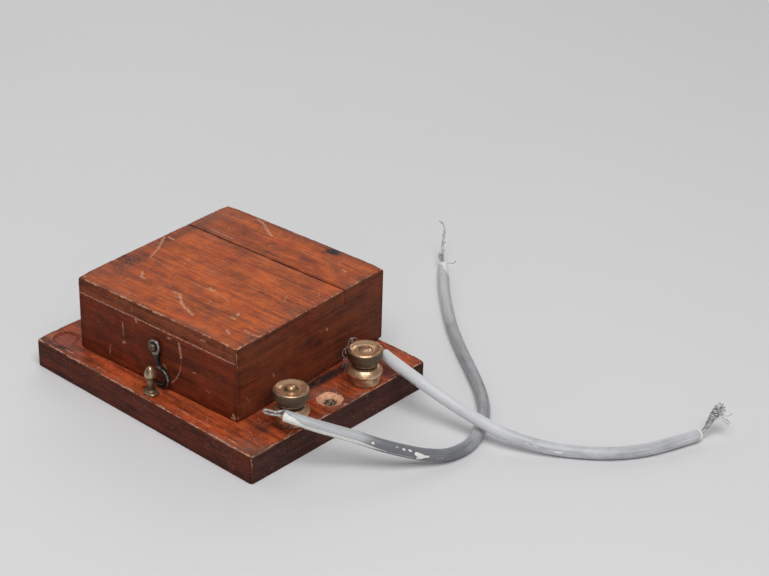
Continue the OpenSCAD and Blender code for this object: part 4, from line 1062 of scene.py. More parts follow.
@finish
def blackened_iron(w, metal):
    """Iron whose black is rubbed off at its edges, paler too where highlights are painted on the hook."""
    spot = w.place()
    cloud, fine = w.noise(spot, 0.8, 4.0, 0.65), w.noise(spot, 4.0, 2.0, 0.6)
    rub = w.step(w.total((w.value("rub"), 1.0), (cloud, 0.7), (fine, 0.3)), 0.75, 1.35)
    return {
        "Base Color": w.blend(rub, linear(metal.iron_black), linear(metal.iron_bright)),
        "Roughness": w.step(cloud, 0.3, 0.7, 0.28, 0.48),
        "Normal": w.bump(w.total((cloud, 0.7), (fine, 0.4)), 0.08, 0.6),
        "Metallic": 0.9,
    }


@finish
def sheath_grey(w, light, dark, inner):
    """Grey plastic sheath, scuffed along its length with painted highlight and shade, slit and nicked to the
    white under it.
    """
    spot, slits = w.place(), w.value("slit")
    laid = w.add("ShaderNodeCombineXYZ", w.value("along"), w.value("around"), 0.0).outputs[0]
    cloud, fine = w.noise(spot, 0.16, 4.0, 0.6), w.noise(spot, 1.6, 3.0, 0.7)
    scuff = w.noise(w.stretch(laid, (0.07, 1.3, 1.0)), 1.0, 4.0, 0.7)
    # Rubbing and painted light along the lead: the lighter grey is partly painted highlight, the darker
    # partly painted shade.
    rubbed = w.total((cloud, 0.7), (scuff, 0.9), (w.value("rubbed"), 1.0), start=-0.8)
    tone = w.blend(w.step(rubbed, 0.0, 1.0), dark, light)
    tone = w.blend(w.step(scuff, 0.36, 0.24, 0.0, 0.5), tone, dimmed(dark, 0.45))
    white = w.blend(w.step(fine, 0.4, 0.75), inner, dimmed(inner, 0.82))
    slit = w.step(w.total((fine, 0.12), (slits, 1.0)), 1.0, 1.1)
    # A dark line just outside each slit is painted shadow of the sheath's cut edge.
    slit_edge_shade = w.times(w.step(slits, 0.82, 0.97), w.step(scuff, 0.42, 0.58, 0.0, 0.75))
    tone = w.blend(slit_edge_shade, tone, dimmed(dark, 0.3))
    return {
        "Base Color": w.blend(slit, tone, white),
        "Roughness": w.total((cloud, 0.2), (scuff, 0.15), (slit, 0.15), start=0.22),
        "Normal": w.bump(w.total((fine, 0.6), (scuff, 0.6)), 0.03, 0.5),
        "Specular IOR Level": 0.45,
    }


@finish
def clouded(w, light, dark, scale, metallic, rough, relief=0.02):
    """A simple finish that varies between two colours."""
    spot = w.place()
    cloud, fine = w.noise(spot, scale, 4.0, 0.6), w.noise(spot, scale * 7, 2.0)
    return {
        "Base Color": w.blend(w.step(w.total((cloud, 1.0), (fine, 0.35)), 0.4, 0.9), dark, light),
        "Roughness": w.step(cloud, 0.3, 0.7, *rough),
        "Normal": w.bump(fine, relief, 0.6),
        "Metallic": metallic,
    }


@finish
def floor_paint(w, colour):
    """Matt paint, very slightly uneven."""
    patch = w.step(w.noise(w.place(), 0.004, 3.0), 0.2, 0.8)
    return {"Base Color": w.blend(patch, dimmed(colour, 0.97), colour), "Roughness": 0.75}


# Light and dark colour, scale, share of metal, least and most roughness, and relief of the plain finishes
PLAIN = {
    "bare_iron": (shade(142, 138, 132), shade(84, 78, 72), 0.35, 1.0, (0.35, 0.55)),
    "bright_steel": (shade(150, 148, 144), shade(84, 80, 76), 0.8, 1.0, (0.3, 0.5)),
    "blue_spring": (shade(150, 156, 166), shade(96, 100, 112), 0.5, 1.0, (0.22, 0.4)),
    "silver_contact": (shade(226, 224, 218), shade(150, 146, 138), 1.4, 1.0, (0.2, 0.4)),
    "red_fibre": (shade(118, 44, 34), shade(78, 28, 22), 0.5, 0.0, (0.4, 0.6)),
    "green_silk": (shade(74, 104, 72), shade(40, 62, 44), 0.9, 0.0, (0.45, 0.65), 0.04),
    "red_cotton": (shade(150, 40, 34), shade(92, 22, 22), 2.2, 0.0, (0.6, 0.85), 0.08),
    "hole_filling": (shade(168, 74, 48), shade(86, 38, 29), 1.1, 0.0, (0.55, 0.75), 0.12),
}


def plain(name):
    return clouded(name, *PLAIN[name])


# Wires and strands


def wires(name, paths, radius, material, bend=0.0, sides=8):
    """One mesh of round wires along these paths, which are points in metres and a share of the radius."""
    data = bpy.data.curves.new(name, "CURVE")
    data.dimensions = "3D"
    for path, share in paths:
        line = data.splines.new("POLY")
        line.points.add(len(path) - 1)
        for point, spot in zip(line.points, path):
            point.co = (*spot, 1.0)
            point.radius = share
    return grown(linked(name, data), "Drawn wire", Radius=radius, Bend=bend, Sides=sides, Material=material)


def twisted(route, count, lay_radius, pitch, rng, stray):
    """Paths of strands twisted round a route; lay_radius is a function of the share along it."""
    frames, run = directions(route), run_along(route)
    out = []
    for i in range(count):
        start, sway = math.tau * i / count, rng.uniform(-0.3, 0.3)
        path = []
        for k, (spot, (_, lift, side)) in enumerate(zip(route, frames)):
            share = k / (len(route) - 1)
            turn = start + math.tau * run[k] / pitch + sway * share
            reach = lay_radius(share) * (1 + stray * share * rng.uniform(-1, 1))
            path.append(spot + lift * (reach * math.cos(turn)) + side * (reach * math.sin(turn)))
        out.append((path, 1.0))
    return out


def curled(paths, share):
    """Smooth single strands through points in millimetres."""
    return [(smooth_route(metres(path), 0.4 * MM), share) for path in paths]


# Leads

SHEATH_STEP, SHEATH_SIDES = 0.6 * MM, 40
STRAND_STEP = 0.3 * MM
# Share by which a sheath's radius varies, and the width in millimetres over which a slit's side slopes
SHEATH_LUMPS, SLIT_SLOPE = 0.012, 0.3
# Radius at which a lead's strands lie under its clamp, and the length in which they turn once
TWIST_RADIUS, TWIST_PITCH = 0.27 * MM, 4 * MM
# Depth, in millimetres, that a place far from every slit has
FAR_FROM_SLITS = -9.0
# Rows that close a cut end of a sheath: share of its radius, and how far in from the end in millimetres
CUT_END = [(0.985, 0.04), (0.8, 0.0), (0.76, 0.5), (0.3, 0.5)]
# Side, way round the stud, first angle on it, route, tail, frayed end, slits, far slits, and wear with
# painted light along it
LEADS = [
    ("front", -1, 290, FRONT_ROUTE, FRONT_TAIL, FRONT_FRAYED, FRONT_SLITS, FRONT_FAR_SLITS, FRONT_WEAR_AND_LIGHT),
    ("rear", 1, 180, REAR_ROUTE, REAR_TAIL, REAR_FRAYED, REAR_SLITS, REAR_FAR_SLITS, REAR_WEAR_AND_LIGHT),
]
# Fibres in the tuft at the foot of the front twist, length of its barbs, and for each barb the share of the
# way along the twist and its direction in radians
TUFT, BARB = 16, 1.3
BARBS = [(0.5, 0.4), (0.62, 2.6), (0.66, -0.6), (0.8, 2.4), (0.35, 0.2)]
# Points of a strand bowed over the end of the rear twist: share of its arm, and millimetres on from the tip
BOWED = [(0.8, -1.5), (1.2, 0.6), (0.5, 1.2), (-0.4, 0.7)]
FRONT_STRAY = [[(3.4, 117.2, 3.4), (5.2, 118, 4), (6.4, 118.4, 4.1), (7, 119, 5.4)]]
REAR_STRAY = [
    [(149.6, 90, 7), (151.4, 91.2, 7.2), (153, 92, 6.4), (154.2, 92.6, 5.4)],
    [(149.6, 90.4, 7.3), (151.4, 91.8, 7.6), (153.2, 92.8, 6.9), (154.4, 93.2, 5.9)],
    [(149.6, 91, 7.6), (151.4, 92.4, 8), (153.2, 93.6, 8.4), (154, 94.4, 9.2)],
]
# Loose strands that stand out at the left of the rear terminal
REAR_LOOPS = [
    [(46.4, 19.4, 18), (44, 19.4, 19.2), (42.5, 19.5, 22.2), (42.3, 19.1, 25), (41.7, 18.6, 24.5),
     (41.3, 18.1, 22), (40.5, 17.4, 20.7), (40, 17, 19.7), (40, 17, 18.1), (40.5, 17.5, 16.9),
     (40.1, 17.1, 16.1)],
    [(46.2, 19.6, 18), (43.8, 20.2, 19), (41.4, 20.4, 21.4), (40.9, 20.6, 23.6), (41.5, 21.6, 24),
     (41.9, 22.4, 22.8)],
    [(46.2, 19.2, 18), (43.6, 18.8, 18.2), (41.1, 18, 17.3), (40.4, 17.4, 15.2), (40, 17, 13.1)],
    [(46, 19, 17.95), (43.8, 18.9, 17.2), (41.9, 18.7, 16.4), (41.5, 18.3, 14.4)],
    [(46, 18.6, 18), (43, 18.4, 17), (41.3, 18.1, 15.7), (40.9, 17.8, 13.8), (40.7, 17.6, 11.9)],
    [(46.2, 19.5, 18), (44, 19.9, 18.8), (41.6, 19.6, 20.4), (40.6, 18.6, 21.2), (40.3, 18, 20),
     (40.6, 18, 18.6)],
]


def round_stud(side, radius, height, degrees):
    """Points round a terminal's stud at these angles, in millimetres."""
    stud = MOUNTS[f"{side}_terminal"]
    angles = [math.radians(a) for a in degrees]
    return [(stud.x + radius * math.cos(a), stud.y + radius * math.sin(a), height) for a in angles]


def slit_depth(along, around, slits):
    """How far inside the nearest slit a place on a sheath lies, in millimetres."""
    best = FAR_FROM_SLITS
    for path, widths in slits:
        for (s, r), (s_on, r_on), wide, wide_on in zip(path, path[1:], widths, widths[1:]):
            ds, dr = s_on - s, r_on - r
            t = max(0.0, min(1.0, ((along - s) * ds + (around - r) * dr) / (ds * ds + dr * dr)))
            off = math.hypot(along - s - t * ds, around - r - t * dr)
            best = max(best, wide + (wide_on - wide) * t - off)
    return best


def sheath(side, route, settings, near_slits, far_slits, wear_and_light, material):
    """A lead's sheath along its route, with slits and nicks cut through to the white inside."""
    line = smooth_route(metres(route), SHEATH_STEP)
    frames = directions(line, Vector((0, 0, 1)))
    degree = math.pi * settings.diameter / MM / 360
    whole = (len(line) - 1) * SHEATH_STEP / MM
    slits = near_slits + [([(whole - s, a) for s, a in path], widths) for path, widths in far_slits]
    slits = [([(s, a * degree) for s, a in path], widths) for path, widths in slits]
    points, slit, along, around = [], [], [], []
    for k, (spot, (_, lift, across)) in enumerate(zip(line, frames)):
        for i, (c, s) in enumerate(circle(SHEATH_SIDES)):
            turn = 360 * i / SHEATH_SIDES
            along.append(k * SHEATH_STEP / MM)
            around.append((turn if turn <= 180 else turn - 360) * degree)
            depth = slit_depth(along[-1], turn * degree, slits)
            slit.append(1 + depth / 2)
            reach = settings.diameter / 2 * (1 + SHEATH_LUMPS * wander(spot / MM + lift * i * 0.2, 4, 0.25))
            reach -= settings.sheath * max(0.0, min(1.0, depth / SLIT_SLOPE + 0.5))
            points.append(spot + lift * (reach * c) + across * (reach * s))
    rows = rows_of(len(line), SHEATH_SIDES)
    faces = skin(rows)
    for end, inward in ((0, 1), (len(line) - 1, -1)):
        rim = last = rows[end]
        for share, push in CUT_END:
            row = range(len(points), len(points) + SHEATH_SIDES)
            shift = frames[end][0] * (inward * push * MM)
            points += [line[end] + (points[i] - line[end]) * share + shift for i in rim]
            slit += [2.0 if share < 0.9 else slit[i] for i in rim]
            along += [along[i] for i in rim]
            around += [around[i] for i in rim]
            faces += hoop(row, last) if inward > 0 else hoop(last, row)
            last = row
        faces.append(last[::-1] if inward > 0 else last)
    mesh = shape(f"{side}_lead_sheath", points, faces)
    thing = piece(f"{side}_lead_sheath", "base", material, mesh, f"{side}_lead", f"lead_{side}_grey",
                  smooth=35, slit=slit, along=along, around=around, rubbed=np.interp(along, *zip(*wear_and_light)))
    return thing, line


def front_fray(route, rng):
    """One tall twist with barbs, a tuft of fibres at its foot and one strand bent aside."""
    out = twisted(route, 6, lambda share: (0.46 - 0.36 * share) * MM, TWIST_PITCH, rng, 0.3)
    for share, aim in BARBS:
        spot = route[int(share * (len(route) - 1))]
        arm = Vector((math.cos(aim), math.sin(aim) * 0.6, 0.45)) * BARB * MM
        out.append(([spot, spot + arm * 0.6, spot + arm + Vector((0, 0, 0.2 * MM))], 0.7))
    for _ in range(TUFT):
        aim = math.radians(150 + rng.uniform(-50, 50))
        rise = Vector((0, 0, rng.uniform(1.4, 3.8) * MM))
        lean = Vector((math.cos(aim), math.sin(aim), 0)) * rng.uniform(0.6, 2.0) * MM
        foot = (Vector(FRONT_ROUTE[-1]) + Vector((-1.2, 0.4, 1.2))) * MM + lean * 0.4
        out.append(([foot, foot + lean * 0.5 + rise * 0.6, foot + lean + rise], 0.6))
    return out + curled(FRONT_STRAY, 0.8)


def rear_fray(route, rng):
    """A thick twist that opens at its end and turns back, with a few strands gone astray."""

    def swell(share):
        return (0.5 + 1.2 * share ** 1.5) * MM

    out = twisted(route, 9, swell, 6.5 * MM, rng, 0.35)
    out += twisted(route, 6, lambda share: 0.6 * swell(share), 5 * MM, rng, 0.4)
    tip, way = route[-1], (route[-1] - route[-4]).normalized() * MM
    for c, s in circle(9):
        arm = Vector((c, 0.3 * s, s)) * 1.7 * MM
        bow = [tip + arm * share + way * on for share, on in BOWED]
        out.append((smooth_route(bow, STRAND_STEP), 0.8))
    return out + curled(REAR_STRAY, 0.8)


# Parts of the case

BASE_CELL, TOP_CELL, WALL_CELL = 0.9 * MM, 0.55 * MM, 0.6 * MM
WALL_LAYERS = 4
COVER_CORNER, JOINT_EDGE, SEAM_EASE = 0.4 * MM, 0.16 * MM, 0.5 * MM
# Depth in millimetres under a board's face in which its marks show
BASE_SKIN, COVER_SKIN = 0.6, 0.7
# A knocked place on the baseboard's front edge: where it is along X, its half sizes and how far it is worn
KNOCK_PLACE, KNOCK_LONG, KNOCK_DEEP, KNOCK_WEAR = 46 * MM, 9 * MM, 4 * MM, 0.9 * MM
# Radius of each hole's worn rim, the height that it starts at, and the width it fades over, in millimetres
HOLE_RIM, HOLE_FOOT, PLUG_RIM, PLUG_FOOT, RIM_FADE = 4.7, 4, 5.2, 10, 4
# Radius of the open hole's own faces, and the depth over which its inside turns from bare wood to mottled
# painted shade, in millimetres
HOLE_FACES, BORE_DEPTH = 4.6, 6


def rim_wear(local, centre, rim, foot):
    """1 at a hole's rim, more inside it, falling to 0 in the wood round it, above a height."""
    off = np.hypot(local[:, 0] - centre.x, local[:, 1] - centre.y)
    return np.where(local[:, 2] > foot, np.clip(1 - (off - rim) / RIM_FADE, 0, 1.6), 0)


def swept_bar(route, widths, thick, sides=14):
    """A bar with rounded edges along a flat route in X and Y, standing on Z."""
    points = []
    for k, spot in enumerate(route):
        way = way_on(route, k)
        side = Vector((-way.y, way.x, 0))
        for c, s in circle(sides):
            points.append(spot + side * (widths[k] / 2 * fuller(c, 0.7))
                          + Vector((0, 0, thick[k] / 2 * fuller(s, 0.7))))
    rows = rows_of(len(route), sides)
    faces = [(a, d, c, b) for a, b, c, d in skin(rows)]
    return points, faces + [rows[0], rows[-1][::-1]]


# The hook in its own frame, in millimetres: place of its screw on the cover, middle of its thickness,
# points of its shank and lip, centre and radius of its bow, and the turned profile of its eye
HOOK_PLACE, HOOK_MIDDLE = Vector((0.6, -38.7, 16.2)), 1.15
HOOK_SHANK = [(0.3, -1.8), (0.7, -3.6), (1.2, -5.6), (1.65, -7.3), (2.1, -8.35)]
HOOK_LIP = [(2.2, -14.75), (1.2, -14.85), (0.3, -15), (0, -15.05)]
BOW_X, BOW_Y, BOW_RADIUS = 2.6, -11.6, 3.1
HOOK_EYE = [(1.15, 0.42, 0), (1.35, 0.32, 0), (2.3, 0.32, 0), (2.65, 0.6, 0), (2.75, 1.0, 0), (2.65, 1.6, 0),
            (2.3, 1.95, 0), (1.35, 1.95, 0), (1.15, 1.8, 0)]
# Shares of the way along the hook and its widths there
HOOK_SHARES = (0, 0.16, 0.36, 0.5, 0.6, 0.72, 0.82, 0.92, 1)
HOOK_WIDTHS = (4.2, 1.7, 1.6, 1.8, 2.4, 2.3, 1.8, 1.1, 0.5)
HOOK_SCREW = [(0, -4.5, 0), (1.0, -4.5, 0), (1.05, 2.1, 0), (1.6, 2.1, 0), (1.58, 2.5, 0), (1.35, 3.05, 0),
              (0.85, 3.42, 0), (0.4, 3.57, 0), (0, 3.6, 0)]
# The slot in that screw: its reach along each axis, its turn in radians; and where the head gets brighter
SCREW_SLOT, SCREW_SLOT_TURN, HEAD_BRIGHT = ((-2.4, 2.4), (-0.24, 0.24), (2.95, 4.2)), 0.5, 2.6
HOOK_STEP, HOOK_VOXEL = 0.25 * MM, 0.11 * MM

# Turned profiles in millimetres: radius, height and brightness, which is partly polish and partly painted
# highlight where light glints on the nut's dish, the collar's cone and band and the stud's tip

CATCH = [
    (0, -6, 0), (1.2, -6, 0), (1.2, 0.3, 0), (1.8, 0.3, 0.2), (1.85, 1.2, 0.6), (1.7, 1.6, 0.8),
    (1.5, 1.75, 0.3), (1.38, 2.2, 0.2), (1.36, 4.6, 0.5), (1.4, 6.7, 0.3), (1.9, 6.95, 0.4), (2.2, 7.1, 0.9),
    (2.22, 7.6, 1.0), (2.05, 8.6, 0.8), (1.68, 9.5, 0.8), (1.18, 10.3, 0.9), (0.62, 10.82, 0.9),
    (0.25, 10.97, 0.8), (0, 11, 0.8),
]
COLLAR = [
    (2.42, 11.02, 0), (5.62, 11.02, 0.3), (5.7, 11.2, 0.5), (5.74, 12.3, 0.65), (5.95, 13.4, 0.6),
    (6.05, 14.6, 0.55), (6.42, 15.3, 0.9), (6.45, 15.7, 1.0), (6.25, 16.1, 0.8), (5.75, 16.75, 0.75),
    (5.3, 17.2, 0.85), (4.95, 17.48, 0.9), (2.42, 17.48, 0.5),
]
WASHER = [
    (2.42, 18.56, 0.2), (4.75, 18.56, 0.3), (4.9, 18.75, 0.5), (4.9, 19.05, 0.4), (4.75, 19.24, 0.3),
    (2.42, 19.24, 0.2),
]
NUT = [
    (2.42, 19.26, 0), (4.85, 19.26, 0.25), (4.9, 19.9, 0.3), (5.3, 20.4, 0.1), (6.1, 20.8, 0.05),
    (6.33, 21, 0.15), (6.35, 23.4, 0.1), (6.33, 23.85, 0.35), (6.1, 24.2, 0.7), (5.75, 24.42, 0.55),
    (5.4, 24.44, 0.55), (5.1, 24.36, 1.0), (4.4, 24.0, 1.5), (3.6, 23.78, 1.4), (3.1, 23.74, 0.8),
    (2.5, 23.72, 0.6), (2.42, 23.6, 0.2),
]
# Rounding of the corners of collars, washers and nuts, in millimetres
BRASS_EASE = 0.12
STUD_FOOT = [(0, 0.3, 0), (2.1, 0.3, 0), (2.35, 0.6, 0)]
STUD_TIPS = {
    "front": [(2.35, 23.6, 0.3), (2.2, 23.72, 0.4), (1.55, 23.76, 0.3), (1.45, 23.95, 0.4), (1.42, 24.8, 0.9),
              (1.25, 25.0, 1.3), (0.7, 25.05, 1.4), (0, 25.05, 1.4)],
    "rear": [(2.35, 23.2, 0.1), (2.3, 23.5, 0.5), (2.0, 23.62, 0.9), (1.2, 23.6, 0.6), (0.9, 23.64, 1.0),
             (0, 23.65, 1.0)],
}

# The catch's place in the cover's frame, half sizes of its foot plate, and rows of inset, height and
# brightness, partly polish and partly painted highlight on the plate's edges
CATCH_PLACE, CATCH_PLATE = Vector((2.6, -44.4, 0)), (2.8, 2.2)
PLATE_ROWS = [(0.15, 0.0, 0.2), (0.0, 0.15, 0.4), (0.0, 0.5, 0.7), (0.22, 0.78, 1.0), (0.6, 0.8, 0.8)]


# The works: body, finish or none for the brass, easing of the edges in millimetres, slot and nodes

WORKS = [
    ("base", "bare_iron", 0.2, "soft_iron", ("yoke_bracket", "left_core", "right_core")),
    ("base", "bright_steel", 0.1, "screw_steel", ("works_screws", "core_screws", "spring_clamp_screw")),
    ("base", "red_fibre", 0.12, "bobbin_fibre", ("left_bobbin", "right_bobbin")),
    ("base", None, 0.2, "works_brass", ("armature_post", "contact_pillar", "contact_lock_nut")),
    ("armature", "bare_iron", 0.2, "soft_iron", ("armature",)),
    ("armature", "blue_spring", 0.05, "spring_steel", ("armature_spring",)),
    ("armature", None, 0.08, "works_brass", ("armature_rivets",)),
    ("armature", "silver_contact", 0.08, "contact_silver", ("armature_contact",)),
    ("contact_tip", "silver_contact", 0.06, "contact_silver", ("contact_point",)),
    ("contact_adjuster", None, 0.15, "works_brass", ("contact_screw",)),
]
# Half thickness of the coils' wire, and radius of the hole through them
COIL_WIRE, COIL_BORE = 0.24 * MM, 4.1 * MM
COTTON_RADIUS, COTTON_BEND = 0.6 * MM, 1.5 * MM
# A feed wire's loop round its stud: radius and height in millimetres, and angles in degrees
LOOP_RADIUS, LOOP_HEIGHT, LOOP_DEGREES = 3.05, 4.85, range(150, -91, -15)
# Routes of the cotton-covered wires after their loops, in millimetres, as the source gives them
COTTON_ROUTES = {
    "front_feed_wire": [(22, -15.45, 4.85), (22, -15.45, 13.5), (22, 3.6, 13.5), (22, 3.6, 20.5),
                        (13.846, 3.6, 20.5)],
    "rear_feed_wire": [(26, 15.45, 4.85), (26, 15.45, 11.65), (26, -23.149, 11.65), (3.096, -23.149, 11.65),
                       (3.096, -19.1445, 11.65)],
    "coil_link_wire": [(-5.154, 20.7, 20.5), (-2.9, 20.7, 20.2), (-0.654, 20.7, 20.5)],
    "armature_wire": [(-19.654, 3.6, 20.5), (-23.779, 3.6, 20.5), (-23.779, 3.6, 13.5),
                      (-27.904, 3.6, 13.5), (-27.904, -1.75, 13.5)],
}


# Name, setting, place, aim and width of the lights, in metres
LIGHTS = [
    ("overhead_light", "key", (0.39, -0.3, 1.05), (0.02, 0.0, 0.02), 0.8),
    ("left_light", "fill", (-0.9, -0.3, 0.6), (0.03, 0.0, 0.03), 0.7),
    ("back_light", "back", (-0.85, 0.9, 0.5), (0.03, 0.0, 0.03), 1.2),
    ("front_light", "front", (0.75, -0.7, 0.22), (0.03, 0.0, 0.03), 0.5),
]
FLOOR_RADIUS, SENSOR_WIDTH = 4, 36


# Operators


class BUZZER_OT_camera(bpy.types.Operator):
    """Puts the camera where the photograph was taken from"""

    bl_idname = "buzzer.camera"
    bl_label = "Camera"

    def execute(self, context):
        given = context.scene.buzzer.camera
        data = bpy.data.cameras.new("camera")
        data.sensor_width = SENSOR_WIDTH
        data.lens = given.lens
        thing = linked("camera", data)
        thing.matrix_world = (
            Matrix.Translation(given.place) @ Matrix.Rotation(given.azimuth, 4, "Z")
            @ Matrix.Rotation(math.pi / 2 - given.elevation, 4, "X") @ Matrix.Rotation(given.roll, 4, "Z"))
        context.scene.camera = thing
        context.scene.view_settings.view_transform = "Standard"
        return {"FINISHED"}


class BUZZER_OT_leads(bpy.types.Operator):
    """Makes the two leads and the bare strands at their ends"""

    bl_idname = "buzzer.leads"
    bl_label = "Leads"

    def execute(self, context):
        given = context.scene.buzzer.leads
        rng = random.Random(given.seed)
        tin = clouded("bright_tin", linear(context.scene.buzzer.metal.tin), shade(138, 137, 134), 0.9, 0.55,
                      (0.25, 0.45))
        for side, sign, start, route, tail, frayed, slits, far_slits, wear_and_light in LEADS:
            grey = sheath_grey(f"{side}_sheath_grey", linear(getattr(given, f"{side}_light")),
                               linear(getattr(given, f"{side}_dark")), linear(given.inner))
            body, line = sheath(side, route, given, slits, far_slits, wear_and_light, grey)
            turns = round_stud(side, CLAMP_RADIUS, CLAMP_HEIGHT, [start + sign * a for a in CLAMP_DEGREES])
            near_route = smooth_route(metres(tail + turns), STRAND_STEP)
            far_route = smooth_route(metres(frayed), STRAND_STEP)
            near = twisted(near_route, 6, lambda _: TWIST_RADIUS, TWIST_PITCH, rng, 0.15)
            if side == "rear":
                near += curled(REAR_LOOPS, 0.66)
            far = front_fray(far_route, rng) if side == "front" else rear_fray(far_route, rng)
            for kind, paths, node in (("tail", near, "conductor"), ("frayed", far, "frayed_end")):
                mesh = wires(f"{side}_{kind}", paths, given.strand / 2, tin)
                piece(f"{side}_lead_{kind}_strands", "base", tin, mesh, f"{side}_lead_{node}",
                                  "tinned_strand", smooth=60)
        return {"FINISHED"}


class BUZZER_OT_baseboard(bpy.types.Operator):
    """Makes the worn baseboard with its fixing holes"""

    bl_idname = "buzzer.baseboard"
    bl_label = "Baseboard"

    def execute(self, context):
        case, colours = context.scene.buzzer.case, context.scene.buzzer.timber
        half = (case.base_width / 2 - CUT_ROOM, case.base_depth / 2 - CUT_ROOM)
        low, high = CUT_ROOM, case.base_thick - CUT_ROOM
        points, faces = lattice(*(grid_lines(a, b, BASE_CELL)
                                  for a, b in ((-half[0], half[0]), (-half[1], half[1]), (low, high))))
        worn = []
        for spot in points:
            knock = math.hypot((spot.x - KNOCK_PLACE) / KNOCK_LONG, (spot.y + half[1]) / KNOCK_DEEP)
            wide = edge_width(spot, half, case.arris, case.chip, 3) + KNOCK_WEAR * math.exp(-knock ** 4)
            worn.append(wear_point(spot, half, case.base_corner, low, high, 0.6 * case.arris, wide))
        mesh = cut_to_solid("baseboard", worn, faces)
        paint_board(mesh, Matrix(), half, low, high, [
            (lambda p: p[:, 2] > high / MM - BASE_SKIN, (0, 1), BASE_SCRATCHES, BASE_STAINS_AND_SHADE, BASE_HAZE)])
        plug_low, plug_high, plug = node_box("fixing_hole_plug")
        local = vertex_array(mesh) / MM
        record_values(mesh, "hole", rim_wear(local, FIXING, HOLE_RIM, HOLE_FOOT))
        record_values(mesh, "plug", rim_wear(local, plug / MM, PLUG_RIM, PLUG_FOOT))
        record_values(mesh, "depth", np.clip((case.base_thick / MM - local[:, 2]) / BORE_DEPTH, 0, 1))
        # Side and end finishes are darker copies of the base's: painted shade on the upright faces.
        face_finishes(mesh, Matrix(),
                      timber("baseboard_mahogany", colours, "base", 0.0, 0.8, 0.48, over=fixing_wear),
                      timber("baseboard_side_mahogany", colours, "side", 0.0, 0.3, 0.3),
                      timber("baseboard_end_mahogany", colours, "end", math.pi / 2, 0.3, 0.3))
        for face in mesh.polygons:
            if (face.center.xy / MM - FIXING.xy).length < HOLE_FACES:
                face.material_index = 0
        piece("baseboard_worn", "base", None, mesh, "baseboard", "mahogany_base", smooth=0)
        self.filling(plug_low.z, plug_high.z, (plug_high.x - plug_low.x) / 2, plug)
        return {"FINISHED"}

    def filling(self, low, top, radius, middle):
        """The lumpy filling of the plugged fixing hole."""
        rows = [(0, low, 0), (radius * 0.8, low, 0), (radius, top - 0.3 * MM, 0), (radius * 0.93, top, 0),
                (radius * 0.6, top - 0.12 * MM, 0), (radius * 0.3, top + 0.04 * MM, 0), (0, top, 0)]
        points, faces, _ = turned(rows, Vector((middle.x, middle.y, 0)), 40)
        points = [p + Vector((0, 0, 0.06 * MM * wander(p / MM, 5, 1.1))) for p in points]
        piece("fixing_hole_filling", "base", plain("hole_filling"), shape("filling", points, faces),
              "fixing_hole_plug", "plug_wood")


